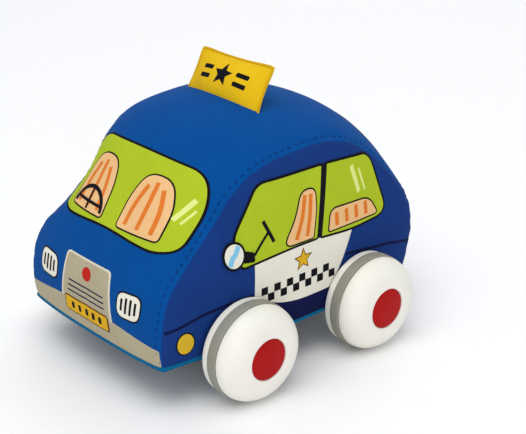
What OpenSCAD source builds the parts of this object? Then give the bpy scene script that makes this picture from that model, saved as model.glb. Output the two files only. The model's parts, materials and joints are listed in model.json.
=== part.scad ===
// Soft pull-back police car: a stuffed cloth body sewn round a moulded chassis,
// with a spring motor on the rear axle and four hard wheels.
// Millimetres. +X is forwards, +Y is the car's left, +Z is up.
// The origin is on the floor, under the middle of the car.

/* [Body] */
// Length of the stuffed body
body_l = 126; // [116:0.1:140]
// Width between the two side seams
body_w = 76; // [70:0.5:84]
// Height of the roof crest above the hem
body_h = 73.2; // [66:0.1:82]
// How far each side panel swells out past its seams
side_bulge = 3.5; // [3:0.1:6]
// How far the bottom edge of each side bows out at mid-length
hem_bow = 3.6; // [1:0.1:4]
// How far the hem hangs below the axle centres
hem_drop = 0.2; // [0:0.1:3]
// Thickness of the padded cover cloth
cloth_t = 1.2; // [0.8:0.1:1.6]
// Space between the cover and the filling
filling_gap = 0.3; // [0.2:0.05:0.6]

/* [Roof sign] */
// Width of the roof pillow
sign_w = 38.5; // [28:0.5:44]
// Height of the roof pillow along its face
sign_h = 15.6; // [12:0.1:22]
// Thickness of the roof pillow between its two cloths
sign_t = 7; // [4:0.1:9]
// Angle that the roof pillow leans back
sign_lean = 36; // [15:1:40]
// Thickness of the pillow's cloth
sign_cloth_t = 0.7; // [0.5:0.05:1]

/* [Wheels] */
// Diameter over the tyre
wheel_d = 35.6; // [32:0.1:42]
// Distance between the axles
wheelbase = 57; // [54:0.5:64]
// Space between a wheel and the widest part of a side panel
wheel_gap = 0.5; // [0.4:0.05:2]
// Width of the white rim on the body side
inner_rim_w = 3; // [2:0.1:4]
// Width of the grey tyre
tyre_w = 4; // [3:0.1:6]
// Thickness of the tyre
tyre_t = 1.9; // [1.2:0.1:3]
// How far the tyre stands out past the white rims
tyre_proud = 0.3; // [0.1:0.05:0.8]
// Rounding of the rims' edges
rim_round = 0.7; // [0.4:0.1:1.2]
// Height of the wheel's dome over its rim
dome_h = 7.3; // [5:0.1:10]
// Wall of the wheel mouldings
wheel_wall = 1.6; // [1.2:0.1:2.2]
// Diameter of the red hub cap
cap_d = 15; // [12:0.1:18]
// Depth that the hub cap sits in
cap_t = 1.6; // [1.2:0.1:2.4]
// How far the hub cap's face crowns up
cap_crown = 0.6; // [0.3:0.1:1]
// Outer diameter of the wheel's hub tube
hub_d = 8; // [6.5:0.1:10]

/* [Axles] */
// Diameter of the steel axles
axle_d = 3; // [2:0.1:3.4]
// Running clearance round an axle
axle_clear = 0.05; // [0.02:0.01:0.1]
// Wall of the tubes that the axles turn in
tube_wall = 1.25; // [1:0.05:1.8]
// End play between a tube and its wheel
end_play = 0.4; // [0.3:0.05:1]

/* [Chassis] */
// Width of the chassis tray
tray_w = 44; // [40:0.5:52]
// Wall of the chassis tray
tray_wall = 1.6; // [1.2:0.1:2.4]
// Floor of the chassis tray
tray_floor = 1.6; // [1.2:0.1:2.4]
// Length of the tray ahead of the front axle
tray_nose = 14; // [12:0.5:17]
// Width of the flange that holds the cloth
flange_w = 3; // [2:0.1:4]
// Thickness of the flange
flange_t = 1.5; // [1:0.1:2]
// Corner radius of the tray
tray_round = 4; // [2.5:0.1:6]
// Thickness of the tray's ribs
rib_t = 1.2; // [0.8:0.1:1.8]
// Number of cross ribs in front of the motor
rib_count = 4; // [2:1:6]
// Thickness of the clamp frame inside the body
clamp_t = 1.8; // [1.4:0.1:3]
// Height of the clamp frame's screw bosses
boss_h = 6; // [4:0.1:9]

/* [Fasteners] */
// Diameter of a chassis screw
screw_d = 2.5; // [2:0.1:3]
// Diameter of a chassis screw's head
screw_head_d = 4.6; // [4:0.1:5.4]
// Height of a chassis screw's head
screw_head_h = 1.8; // [1.2:0.1:2.4]
// Diameter of a motor case screw
case_screw_d = 1.8; // [1.4:0.1:2]
// Diameter of a motor case screw's head
case_screw_head_d = 3.4; // [2.8:0.1:3.8]
// Height of a motor case screw's head
case_screw_head_h = 1.1; // [0.8:0.1:1.4]

/* [Motor] */
// Size of the gear teeth
gear_module = 0.5; // [0.45:0.01:0.55]
// Pressure angle of the gear teeth
pressure_angle = 25; // [20:1:26]
// Teeth of the pinion on the rear axle
drive_teeth = 12; // [12:1:14]
// Teeth of the large intermediate wheel
large_teeth = 30; // [28:1:34]
// Teeth of the small intermediate pinion
small_teeth = 12; // [12:1:14]
// Teeth of the spring gear
spring_teeth = 36; // [34:1:38]
// Width of a gear's teeth
gear_face = 2.2; // [1.6:0.1:3]
// Play between meshed teeth
backlash = 0.1; // [0.06:0.01:0.16]
// Width of the mainspring
spring_w = 4; // [3:0.1:6]
// Thickness of the mainspring strip
spring_t = 0.3; // [0.2:0.02:0.4]
// Turns of the mainspring
spring_turns = 5; // [3:1:6]
// Wall of the motor case
case_wall = 1.4; // [1.2:0.1:2]
// Diameter of the pin that carries the intermediate gear
pin_d = 1.6; // [1.4:0.1:2]

/* [Hidden] */

$fn = 64;

// Clearances and overruns
overrun = 1;
fit_gap = 0.02;
screw_gap = 0.1;
cloth_gap = 0.3;
pocket_gap = 0.5;
case_gap = 0.4;
rib_gap = 0.3;
seat_gap = 0.25;
gear_room = 0.4;
side_play = 0.4;
plane_gap = 0.6;

// Colours
blue_cloth = [0.05, 0.31, 0.62];
side_cloth = [0.13, 0.24, 0.55];
base_cloth = [0.0, 0.38, 0.55];
yellow_cloth = [0.91, 0.78, 0.1];
filling_white = [0.95, 0.95, 0.93];
wheel_white = [0.93, 0.92, 0.88];
tyre_grey = [0.62, 0.62, 0.58];
hub_red = [0.71, 0.11, 0.11];
tray_black = [0.14, 0.14, 0.16];
case_grey = [0.32, 0.33, 0.36];
gear_white = [0.88, 0.87, 0.82];
steel = [0.72, 0.73, 0.75];

// Axles and wheel planes
axle_r = axle_d / 2;
axle_z = wheel_d / 2;
front_x = wheelbase / 2;
rear_x = -wheelbase / 2;
bore_r = axle_r + axle_clear;
tube_r = bore_r + tube_wall;
tube_cloth_gap = 0.4;
wheel_y = body_w / 2 + side_bulge + wheel_gap;

// Heights of the cloth body
hem_z = axle_z - hem_drop;
base_room = 1.1;
base_z = axle_z + tube_r + base_room;
base_top = base_z + cloth_t;

// Shape of the cloth body.
// The middle line of the wrap-round panel runs from the front hem over the
// roof to the back hem: share of half the length, share of the height.
crest_shares = [
    [0.971, 0], [0.997, 0.1], [0.994, 0.232], [0.955, 0.371], [0.844, 0.499],
    [0.721, 0.654], [0.583, 0.807], [0.359, 0.941], [0.067, 1], [-0.26, 0.984],
    [-0.575, 0.889], [-0.823, 0.712], [-0.957, 0.461], [-1, 0.226], [-0.944, 0]
];
// The side seam follows it: shares of half the length, the height and half the width
seam_shares = [
    [0.941, 0, 0.99], [0.957, 0.1, 1.005], [0.939, 0.247, 1.008], [0.868, 0.38, 0.988],
    [0.722, 0.485, 0.945], [0.555, 0.615, 0.927], [0.42, 0.753, 0.96], [0.219, 0.844, 1.002],
    [-0.03, 0.867, 1.003], [-0.278, 0.86, 1], [-0.508, 0.776, 0.991], [-0.727, 0.611, 0.988],
    [-0.906, 0.426, 0.995], [-0.955, 0.226, 0.998], [-0.907, 0, 0.978]
];
// How fast the wrap-round panel and the side panels fall away from their middle
crown_power = 2.2;
bulge_power = 2.2;
// Middle of a side panel
side_mid_height_share = 0.303;
// Spans of the two lists, and steps in a span, across the panel and up a side
spans = len(crest_shares) - 1;
edge_spans = spans + 1;
span_steps = 3;
cross_steps = 12;
hem_steps = 10;
ring_steps = 5;
filling_cross_steps = 8;
filling_ring_steps = 3;
// Small step for slopes
slope_step = 0.01;

// Roof pillow, sewn on at a share of the way along the wrap-round panel
sign_place_share = 0.579;
sign_span = spans * sign_place_share;
sign_rows = 6;
sign_cols = 12;
sign_swell_power = 0.75;
sign_side_draw_share = 0.05;
sign_top_draw_share = 0.06;
sign_tilt_share = 0.035;
sign_filling_share = 0.78;
sign_lift = sign_cloth_t * sin(sign_lean) + seat_gap;

// Wheel, along its own axis from the face on the body side
rim_r = wheel_d / 2 - tyre_proud;
drum_r = wheel_d / 2 - tyre_t;
drum_in_r = drum_r - wheel_wall;
hub_r = hub_d / 2;
cap_r = cap_d / 2;
tyre_s = inner_rim_w;
outer_s = tyre_s + tyre_w;
dome_s = outer_s + rim_round;
wheel_w = dome_s + dome_h;
cap_s = wheel_w - cap_t;
cap_lip = 0.8;
cap_stem_r = 2.1;
cap_stem_l = 1.1;
cap_floor_t = 1.2;
hub_end_gap = 0.4;
hub_l = cap_s - cap_floor_t - hub_end_gap;
axle_end_gap = 0.5;
axle_chamfer = 0.3;
axle_half_l = wheel_y + hub_l - axle_end_gap;
arc_steps = 6;
dome_steps = 12;

// Gear train: the large wheel sits ahead of and above the rear axle,
// the spring gear behind it
large_angle = 55;
spring_angle = 165;
flank_steps = 3;
root_share = 1.25;
drive_centres = gear_module * (drive_teeth + large_teeth) / 2;
spring_centres = gear_module * (small_teeth + spring_teeth) / 2;
large_x = rear_x + drive_centres * cos(large_angle);
large_z = axle_z + drive_centres * sin(large_angle);
spring_x = large_x + spring_centres * cos(spring_angle);
spring_z = large_z + spring_centres * sin(spring_angle);
pin_r = pin_d / 2;
gear_hub_wall = 1;
arbor_r = 2.4;
journal_r = 1.2;
journal_end_gap = 0.2;
cup_r = 8.8;
cup_wall = 1;
spring_seat = 0.1;
spring_points = 24;

// Planes of the motor across the car
motor_in_w = 2 * side_play + 2 * gear_face + 2 * plane_gap + spring_w;
motor_w = motor_in_w + 2 * case_wall;
drive_y = -motor_in_w / 2 + side_play;
small_y = drive_y + gear_face + plane_gap;
spring_y = small_y + gear_face + plane_gap;

// Motor case
case_z0 = axle_z - tip_r(drive_teeth) - gear_room - case_wall;
case_z1 = spring_z + max(tip_r(spring_teeth), cup_r + cup_wall) + gear_room + case_wall;
case_x0 = spring_x - max(tip_r(spring_teeth), cup_r + cup_wall) - gear_room - case_wall;
case_x1 = large_x + tip_r(large_teeth) + gear_room + case_wall;
case_round = 2.4;
post_r = case_screw_head_d / 2 + case_wall / 2;
post_inset = case_wall + case_screw_d;
case_screw_places = [
    [case_x0 + post_inset, case_z0 + post_inset],
    [case_x1 - post_inset, case_z0 + post_inset],
    [case_x1 - post_inset, case_z1 - post_inset]
];
case_screw_end_gap = 1;

// Chassis tray and clamp frame
tray_z0 = case_z0 - tray_floor;
tray_x0 = case_x0 - rib_gap - tray_wall;
tray_x1 = front_x + tray_nose;
rib_y = motor_w / 2 + rib_gap;
rib_top = base_z - flange_t;
rib_bore_gap = 0.3;
tube_y = tray_w / 2 - tray_wall;
post_wall = 1.7;
screw_post_r = screw_d / 2 + post_wall;
head_recess = screw_head_h + screw_gap;
screw_inset = tray_wall / 2 + screw_post_r;
screw_xs = [tray_x0 + screw_inset, tray_x1 - screw_inset];
screw_y = tray_w / 2 - screw_inset;
screw_end_gap = 1;

// Curve through a list of points; s counts the points
function blend(list, s) =
    let (
        last = len(list) - 1,
        i = min(floor(s), last - 1),
        u = s - i,
        a = list[max(i - 1, 0)],
        b = list[i],
        c = list[i + 1],
        d = list[min(i + 2, last)]
    )
    (2 * b + (c - a) * u + (2 * a - 5 * b + 4 * c - d) * u * u + (3 * b - a - 3 * c + d) * u * u * u) / 2;

function unit(vector) = vector / norm(vector);
function flip_y(point) = [point.x, -point.y, point.z];

// Points on the middle line and on the left seam
function crest(s) =
    let (share = blend(crest_shares, s))
    [share[0] * body_l / 2, 0, hem_z + share[1] * body_h];
function seam(s) =
    let (share = blend(seam_shares, s))
    [share[0] * body_l / 2, share[2] * body_w / 2, hem_z + share[1] * body_h];

// Point of the wrap-round panel: s along it, v across it from -1 to 1
function wrap_point(s, v) =
    let (mid = crest(s), edge = seam(s), fall = pow(abs(v), crown_power))
    [mid.x + (edge.x - mid.x) * fall, edge.y * v, mid.z + (edge.z - mid.z) * fall];
function wrap_normal(s, v) =
    let (
        along = wrap_point(min(s + slope_step, spans), v) - wrap_point(max(s - slope_step, 0), v),
        across = wrap_point(s, min(v + slope_step, 1)) - wrap_point(s, max(v - slope_step, -1))
    )
    unit(cross(across, along));

// Point of the left bottom edge: u from 0 at the back to 1 at the front
function hem_point(u) =
    let (back = seam(spans), front = seam(0))
    back + (front - back) * u + [0, hem_bow * (1 - pow(2 * u - 1, 2)), 0];

// Edge of the left side panel: q runs up the seam, then one more span along the hem
function side_edge(q) = q <= spans ? seam(q) : hem_point(q - spans);

// Point of the left side panel: q round its edge, r from 0 in the middle to 1 at the edge
side_mid = [0, body_w / 2 + side_bulge, hem_z + side_mid_height_share * body_h];
function side_point(q, r) =
    let (edge = side_edge(q), fall = pow(r, bulge_power))
    [edge.x * r, side_mid.y + (edge.y - side_mid.y) * fall, side_mid.z + (edge.z - side_mid.z) * r];
function side_normal(q, r) =
    let (
        low = q > spans ? spans + slope_step : 0,
        high = q > spans ? edge_spans : spans,
        round = side_point(min(q + slope_step, high), r) - side_point(max(q - slope_step, low), r),
        out = side_point(q, min(r + slope_step, 1)) - side_point(q, r - slope_step)
    )
    unit(cross(round, out));

// Points moved in by a depth; at the seam both panels share one mitred point
function seam_inset(s, depth) =
    let (a = wrap_normal(s, 1), b = side_normal(s, 1))
    seam(s) - (a + b) / (1 + a * b) * depth;
function wrap_inset(s, v, depth) =
    v == 1 ? seam_inset(s, depth) :
    v == -1 ? flip_y(seam_inset(s, depth)) :
    wrap_point(s, v) - wrap_normal(s, v) * depth;
function side_inset(q, r, depth) =
    r == 1 && q <= spans ? seam_inset(q, depth) :
    side_point(q, r) - side_normal(q, r) * depth;

// Two triangles for the four corners of a patch
function halves(a, b, c, d) = [[a, b, c], [a, c, d]];

// Faces of a sheet whose outer and inner grids have the same rows and columns
function sheet_faces(rows, cols) =
    let (n = rows * cols)
    concat(
        [for (i = [0:rows - 2], j = [0:cols - 2], k = i * cols + j, face = halves(
            k, k + cols, k + cols + 1, k + 1)) face],
        [for (i = [0:rows - 2], j = [0:cols - 2], k = n + i * cols + j, face = halves(
            k, k + 1, k + cols + 1, k + cols)) face],
        [for (j = [0:cols - 2], face = halves(j, j + 1, n + j + 1, n + j)) face],
        [for (j = [0:cols - 2], k = (rows - 1) * cols + j, face = halves(k, n + k, n + k + 1, k + 1)) face],
        [for (i = [0:rows - 2], k = i * cols, face = halves(k, n + k, n + k + cols, k + cols)) face],
        [for (i = [1:rows - 1], k = i * cols - 1, face = halves(k, k + cols, n + k + cols, n + k)) face]
    );

// Faces of a row of closed rings of n points, with a pole point before and after them
function ring_faces(rings, n) =
    let (tail = rings * n + 1)
    concat(
        [for (j = [0:n - 1]) [0, 1 + j, 1 + (j + 1) % n]],
        [for (i = [0:rings - 2], j = [0:n - 1], k = (j + 1) % n, face = halves(
            1 + i * n + j, 1 + (i + 1) * n + j, 1 + (i + 1) * n + k, 1 + i * n + k)) face],
        [for (j = [0:n - 1]) [tail - n + j, tail, tail - n + (j + 1) % n]]
    );

// Places round the edge of a side panel
side_places = concat(
    [for (i = [0:spans * span_steps]) i / span_steps],
    [for (i = [1:hem_steps - 1]) spans + i / hem_steps]
);

// Wrap-round panel of padded cloth
module top_panel() {
    rows = spans * span_steps + 1;
    cols = cross_steps + 1;
    outer = [for (i = [0:rows - 1], j = [0:cols - 1]) wrap_point(i / span_steps, 2 * j / cross_steps - 1)];
    inner = [for (i = [0:rows - 1], j = [0:cols - 1])
        wrap_inset(i / span_steps, 2 * j / cross_steps - 1, cloth_t)];
    color(blue_cloth) polyhedron(concat(outer, inner), sheet_faces(rows, cols));
}

// Left side panel, with a notch in its hem for each axle tube
module side_panel() {
    n = len(side_places);
    outer = [for (i = [1:ring_steps], q = side_places) side_point(q, i / ring_steps)];
    inner = [for (i = [1:ring_steps], q = side_places)
        side_inset(q, (ring_steps + 1 - i) / ring_steps, cloth_t)];
    points = concat([side_mid], outer, inner, [side_mid - [0, cloth_t, 0]]);
    difference() {
        polyhedron(points, ring_faces(2 * ring_steps, n));
        for (x = [front_x, rear_x])
            across(x, 0, axle_z) cylinder(h = body_w, r = tube_r + tube_cloth_gap);
    }
}

module left_side_panel() {
    color(side_cloth) side_panel();
}

module right_side_panel() {
    color(side_cloth) mirror([0, 1, 0]) side_panel();
}

// Turns a shape's own axis to point to the car's left
module across(x, y, z) {
    translate([x, y, z]) rotate([-90, 0, 0]) children();
}

// Outline of the cloth floor, just inside the cover
base_depth = cloth_t + cloth_gap;
base_share = (base_z - hem_z) / body_h;
front_span = base_share / crest_shares[1][1];
back_span = spans - base_share / crest_shares[spans - 1][1];
base_front = [for (j = [0:cross_steps]) wrap_inset(front_span, 1 - 2 * j / cross_steps, base_depth)];
base_back = [for (j = [0:cross_steps]) wrap_inset(back_span, 2 * j / cross_steps - 1, base_depth)];
base_side = [for (i = [1:hem_steps - 1]) hem_point(i / hem_steps) - [0, base_depth, 0]];
base_outline = concat(
    base_front,
    [for (i = [len(base_side) - 1:-1:0]) flip_y(base_side[i])],
    base_back,
    base_side
);

// Room that the motor case takes, with a gap all round
module case_room(gap) {
    translate([case_x0 - gap, -motor_w / 2 - gap, case_z0])
        cube([case_x1 - case_x0 + 2 * gap, motor_w + 2 * gap, case_z1 - case_z0 + gap]);
}

module base_panel() {
    color(base_cloth) difference() {
        translate([0, 0, base_z]) linear_extrude(cloth_t) polygon([for (p = base_outline) [p.x, p.y]]);
        case_room(case_gap);
        screw_places() translate([0, 0, base_z - overrun])
            cylinder(h = cloth_t + 2 * overrun, r = screw_d / 2 + cloth_gap);
    }
}

// Stuffing that fills the cover above the base panel, with a pocket for the motor
module body_filling() {
    depth = cloth_t + filling_gap;
    n = len(side_places);
    left = [for (i = [1:filling_ring_steps], q = side_places)
        side_inset(q, i / filling_ring_steps, depth)];
    between = [for (j = [1:filling_cross_steps - 1], q = side_places)
        let (v = 1 - 2 * j / filling_cross_steps, hem = hem_point(q - spans))
        q <= spans ? wrap_inset(q, v, depth) : [hem.x, hem.y * v, hem.z]];
    right = [for (i = [filling_ring_steps:-1:1], q = side_places)
        flip_y(side_inset(q, i / filling_ring_steps, depth))];
    tip = side_mid - [0, depth, 0];
    rings = 2 * filling_ring_steps + filling_cross_steps - 1;
    color(filling_white) difference() {
        polyhedron(concat([tip], left, between, right, [flip_y(tip)]), ring_faces(rings, n));
        translate([-body_l, -body_w, hem_z - body_h])
            cube([2 * body_l, 2 * body_w, base_top + seat_gap - hem_z + body_h]);
        case_room(pocket_gap);
        translate([0, 0, base_top]) clamp_plate(clamp_t + seat_gap, pocket_gap);
        screw_places() translate([0, 0, base_top])
            cylinder(h = clamp_t + boss_h + seat_gap, r = screw_post_r + pocket_gap);
    }
}

// Middle of the roof pillow: u across it from -1 to 1, w up it from 0 to 1
function sign_mid(u, w) =
    let (
        half_w = sign_w / 2 * (1 - sign_side_draw_share * 4 * w * (1 - w)),
        up = sign_h * w * (1 - sign_top_draw_share * (1 - u * u) + sign_tilt_share * u),
        roof = wrap_point(sign_span, u * half_w / seam(sign_span).y),
        top = wrap_point(sign_span, 0)
    )
    roof * (1 - w) + [top.x, roof.y, top.z] * w
        + [-up * sin(sign_lean), 0, up * cos(sign_lean) + sign_lift];
function sign_swell(u, w) = pow((1 - u * u) * 4 * w * (1 - w), sign_swell_power) * sign_t / 2;
function sign_point(u, w, out) = sign_mid(u, w) + [cos(sign_lean), 0, sin(sign_lean)] * out;

// Grid of points of the pillow, from its left bottom corner
function sign_grid(side, scale_share, extra) = [
    for (i = [0:sign_rows], j = [0:sign_cols])
        let (
            u = scale_share * cos(180 * j / sign_cols),
            w = (1 - scale_share * cos(180 * i / sign_rows)) / 2
        )
        sign_point(u, w, side * (scale_share * sign_swell(u, w) + extra))
];

module sign_panel(outer, inner) {
    color(yellow_cloth) polyhedron(concat(outer, inner), sheet_faces(sign_rows + 1, sign_cols + 1));
}

module sign_front_panel() {
    sign_panel(sign_grid(1, 1, sign_cloth_t), sign_grid(1, 1, 0));
}

module sign_back_panel() {
    sign_panel(sign_grid(-1, 1, 0), sign_grid(-1, 1, sign_cloth_t));
}

module sign_filling() {
    color(filling_white) polyhedron(
        concat(sign_grid(1, sign_filling_share, 0), sign_grid(-1, sign_filling_share, 0)),
        sheet_faces(sign_rows + 1, sign_cols + 1));
}

// Plate with round corners between two opposite corners
module round_plate(low, high, radius, height) {
    linear_extrude(height) union() {
        translate([low.x + radius, low.y]) square([high.x - low.x - 2 * radius, high.y - low.y]);
        translate([low.x, low.y + radius]) square([high.x - low.x, high.y - low.y - 2 * radius]);
        for (x = [low.x + radius, high.x - radius], y = [low.y + radius, high.y - radius])
            translate([x, y]) circle(radius);
    }
}

// Plate with the outline of the tray, grown by a margin
module tray_plate(margin, height) {
    round_plate([tray_x0 - margin, -tray_w / 2 - margin], [tray_x1 + margin, tray_w / 2 + margin],
        tray_round + margin, height);
}

module clamp_plate(height, margin = 0) {
    tray_plate(flange_w + margin, height);
}

// The four places of the chassis screws
module screw_places() {
    for (x = screw_xs, y = [-screw_y, screw_y])
        translate([x, y, 0]) children();
}

module chassis_tray() {
    tray_h = base_z - tray_z0;
    color(tray_black) difference() {
        union() {
            difference() {
                union() {
                    translate([0, 0, tray_z0]) tray_plate(0, tray_h);
                    translate([0, 0, base_z - flange_t]) tray_plate(flange_w, flange_t);
                }
                translate([0, 0, tray_z0 + tray_floor]) tray_plate(-tray_wall, tray_h);
            }
            tray_ribs();
            screw_places() translate([0, 0, tray_z0 + tray_floor / 2])
                cylinder(h = tray_h - tray_floor / 2, r = screw_post_r);
        }
        for (x = [front_x, rear_x]) {
            across(x, -tray_w / 2, axle_z) cylinder(h = tray_w, r = bore_r + rib_bore_gap);
            for (side = [0, 1])
                mirror([0, side, 0]) across(x, tube_y - overrun, axle_z)
                    cylinder(h = tray_wall + flange_w + 2 * overrun, r = tube_r + fit_gap);
        }
        screw_places() translate([0, 0, tray_z0 - overrun]) {
            cylinder(h = tray_h + 2 * overrun, r = screw_d / 2 + screw_gap);
            cylinder(h = head_recess + overrun, r = screw_head_d / 2 + screw_gap);
        }
    }
}

// Tubes that carry the axles out to the wheels, each pushed through a wall of the tray
module axle_tubes() {
    tube_l = wheel_y - end_play - tube_y;
    color(tray_black) for (x = [front_x, rear_x], side = [0, 1])
        mirror([0, side, 0]) across(x, tube_y, axle_z) difference() {
            cylinder(h = tube_l, r = tube_r);
            translate([0, 0, -overrun]) cylinder(h = tube_l + 2 * overrun, r = bore_r);
        }
}

// Two long ribs that hold the motor case between them, and cross ribs ahead of it
module tray_ribs() {
    rib_x0 = case_x1 + rib_gap;
    rib_z = tray_z0 + tray_floor / 2;
    rib_pitch = (tray_x1 - tray_wall - rib_x0 - rib_t) / rib_count;
    for (side = [0, 1])
        mirror([0, side, 0]) translate([tray_x0 + tray_wall / 2, rib_y, rib_z])
            cube([tray_x1 - tray_x0 - tray_wall, rib_t, rib_top - rib_z]);
    for (i = [0:rib_count - 1])
        translate([rib_x0 + i * rib_pitch, -tray_w / 2 + tray_wall / 2, rib_z])
            cube([rib_t, tray_w - tray_wall, axle_z - tube_r - rib_z]);
}

module clamp_frame() {
    color(tray_black) difference() {
        union() {
            translate([0, 0, base_top]) clamp_plate(clamp_t);
            screw_places() translate([0, 0, base_top]) cylinder(h = clamp_t + boss_h, r = screw_post_r);
        }
        case_room(case_gap);
        screw_places() translate([0, 0, base_top - overrun])
            cylinder(h = clamp_t + boss_h - screw_end_gap / 2 + overrun, r = screw_d / 2 + fit_gap);
    }
}

module chassis_screws() {
    head_top = tray_z0 + head_recess;
    tip = base_top + clamp_t + boss_h - screw_end_gap;
    color(steel) screw_places() {
        translate([0, 0, head_top - screw_head_h]) cylinder(h = screw_head_h, r = screw_head_d / 2);
        translate([0, 0, head_top]) cylinder(h = tip - head_top, r = screw_d / 2);
    }
}

// Block with the outline of the motor case, between two planes across the car
module case_block(y0, y1, inset) {
    translate([0, y1, 0]) rotate([90, 0, 0])
        round_plate([case_x0 + inset, case_z0 + inset], [case_x1 - inset, case_z1 - inset],
            case_round - inset / 2, y1 - y0);
}

// Places of the case screws, each along the car's width from the right face of the case
module case_screw_spots(y) {
    for (place = case_screw_places)
        across(place[0], y, place[1]) children();
}

// Holes that both halves of the case have: the axle, the pin and the spring gear's journals
module case_bores() {
    across(rear_x, -motor_w, axle_z) cylinder(h = 2 * motor_w, r = bore_r);
    across(large_x, -motor_w, large_z) cylinder(h = 2 * motor_w, r = pin_r + fit_gap);
    across(spring_x, -motor_w, spring_z) cylinder(h = 2 * motor_w, r = journal_r + axle_clear);
}

module motor_case_right() {
    color(case_grey) difference() {
        union() {
            difference() {
                case_block(-motor_w / 2, 0, 0);
                case_block(-motor_in_w / 2, overrun, case_wall);
            }
            case_screw_spots(-motor_w / 2) cylinder(h = motor_w / 2, r = post_r);
        }
        case_bores();
        case_screw_spots(-motor_w / 2 - overrun) {
            cylinder(h = motor_w, r = case_screw_d / 2 + screw_gap);
            cylinder(h = case_screw_head_h + screw_gap + overrun, r = case_screw_head_d / 2 + screw_gap);
        }
    }
}

module motor_case_left() {
    color(case_grey) difference() {
        union() {
            difference() {
                case_block(0, motor_w / 2, 0);
                case_block(-overrun, motor_in_w / 2, case_wall);
            }
            case_screw_spots(0) cylinder(h = motor_w / 2, r = post_r);
            across(spring_x, spring_y, spring_z) difference() {
                cylinder(h = spring_w + side_play + case_wall / 2, r = cup_r + cup_wall);
                translate([0, 0, -overrun]) cylinder(h = spring_w + side_play + overrun, r = cup_r);
            }
        }
        case_bores();
        case_screw_spots(-overrun)
            cylinder(h = motor_w / 2 - case_wall + overrun, r = case_screw_d / 2 + fit_gap);
    }
}

module case_screws() {
    color(steel) case_screw_spots(-motor_w / 2 + screw_gap) {
        cylinder(h = case_screw_head_h, r = case_screw_head_d / 2);
        cylinder(h = motor_w - case_wall - case_screw_end_gap - screw_gap, r = case_screw_d / 2);
    }
}

// Gear teeth. The involute of an angle, in degrees
function involute(angle) = tan(angle) * 180 / PI - angle;
function pitch_r(teeth) = gear_module * teeth / 2;
function tip_r(teeth) = pitch_r(teeth) + gear_module;
function root_r(teeth) = pitch_r(teeth) - root_share * gear_module;
function base_r(teeth) = pitch_r(teeth) * cos(pressure_angle);

// Half the angle that one tooth spans at a radius
function half_tooth(teeth, r) =
    90 / teeth - backlash / 4 / pitch_r(teeth) * 180 / PI
    + involute(pressure_angle) - involute(acos(min(1, base_r(teeth) / r)));
function polar(r, angle) = r * [cos(angle), sin(angle)];

// Outline of a gear with a tooth at the given angle
function gear_outline(teeth, angle) =
    let (
        foot = max(base_r(teeth), root_r(teeth)),
        radii = [for (i = [0:flank_steps]) foot + (tip_r(teeth) - foot) * i / flank_steps]
    )
    [for (k = [0:teeth - 1], middle = angle + 360 * k / teeth, point = concat(
        [polar(root_r(teeth), middle - half_tooth(teeth, foot))],
        [for (r = radii) polar(r, middle - half_tooth(teeth, r))],
        [for (i = [flank_steps:-1:0]) polar(radii[i], middle + half_tooth(teeth, radii[i]))],
        [polar(root_r(teeth), middle + half_tooth(teeth, foot))])) point];

module gear(teeth, angle) {
    linear_extrude(gear_face) polygon(gear_outline(teeth, angle));
}

// Pinion pressed on the rear axle, with one tooth on the line of centres
module drive_pinion() {
    color(gear_white) across(rear_x, drive_y, axle_z) difference() {
        gear(drive_teeth, -large_angle);
        translate([0, 0, -overrun]) cylinder(h = gear_face + 2 * overrun, r = axle_r + fit_gap);
    }
}

// Large wheel and small pinion in one moulding, which turns on a fixed pin
module intermediate_gear() {
    color(gear_white) across(large_x, drive_y, large_z) difference() {
        union() {
            gear(large_teeth, 180 - large_angle + 180 / large_teeth);
            translate([0, 0, small_y - drive_y]) gear(small_teeth, -spring_angle);
            cylinder(h = motor_in_w - 2 * side_play, r = pin_r + axle_clear + gear_hub_wall);
        }
        translate([0, 0, -overrun]) cylinder(h = motor_in_w + overrun, r = pin_r + axle_clear);
    }
}

module intermediate_pin() {
    color(steel) across(large_x, -motor_w / 2, large_z) cylinder(h = motor_w, r = pin_r);
}

// Spring gear with the arbor that winds the mainspring, and a journal at each end
module spring_gear() {
    color(gear_white) {
        across(spring_x, small_y, spring_z) gear(spring_teeth, 180 - spring_angle + 180 / spring_teeth);
        across(spring_x, drive_y, spring_z) cylinder(h = motor_in_w - 2 * side_play, r = arbor_r);
        across(spring_x, -motor_w / 2 + journal_end_gap, spring_z)
            cylinder(h = motor_w - 2 * journal_end_gap, r = journal_r);
    }
}

// Flat spring strip wound from the arbor out to the wall of its cup
module mainspring() {
    in_r = arbor_r + spring_seat + spring_t / 2;
    out_r = cup_r - spring_seat - spring_t / 2;
    steps = spring_turns * spring_points;
    radii = [for (i = [0:steps]) in_r + (out_r - in_r) * i / steps];
    outline = concat(
        [for (i = [0:steps]) polar(radii[i] + spring_t / 2, 360 * i / spring_points)],
        [for (i = [steps:-1:0]) polar(radii[i] - spring_t / 2, 360 * i / spring_points)]
    );
    color(steel) across(spring_x, spring_y, spring_z) linear_extrude(spring_w) polygon(outline);
}

module axle(x) {
    color(steel) across(x, -axle_half_l, axle_z) {
        cylinder(h = axle_chamfer, r1 = axle_r - axle_chamfer, r2 = axle_r);
        translate([0, 0, axle_chamfer]) cylinder(h = 2 * axle_half_l - 2 * axle_chamfer, r = axle_r);
        translate([0, 0, 2 * axle_half_l - axle_chamfer])
            cylinder(h = axle_chamfer, r1 = axle_r, r2 = axle_r - axle_chamfer);
    }
}

module front_axle() {
    axle(front_x);
}

module rear_axle() {
    axle(rear_x);
}

// Quarter arc of radius points about a centre, from one angle to another
function arc(middle, r, from, to) = [
    for (i = [0:arc_steps]) middle + polar(r, from + (to - from) * i / arc_steps)
];

// Points of a dome from its rim to its crown, as shares of an ellipse
function dome(rim, crown_r, height) = [
    for (i = [0:dome_steps])
        [crown_r + (rim - crown_r) * cos(90 * i / dome_steps), dome_s + height * sin(90 * i / dome_steps)]
];

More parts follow.
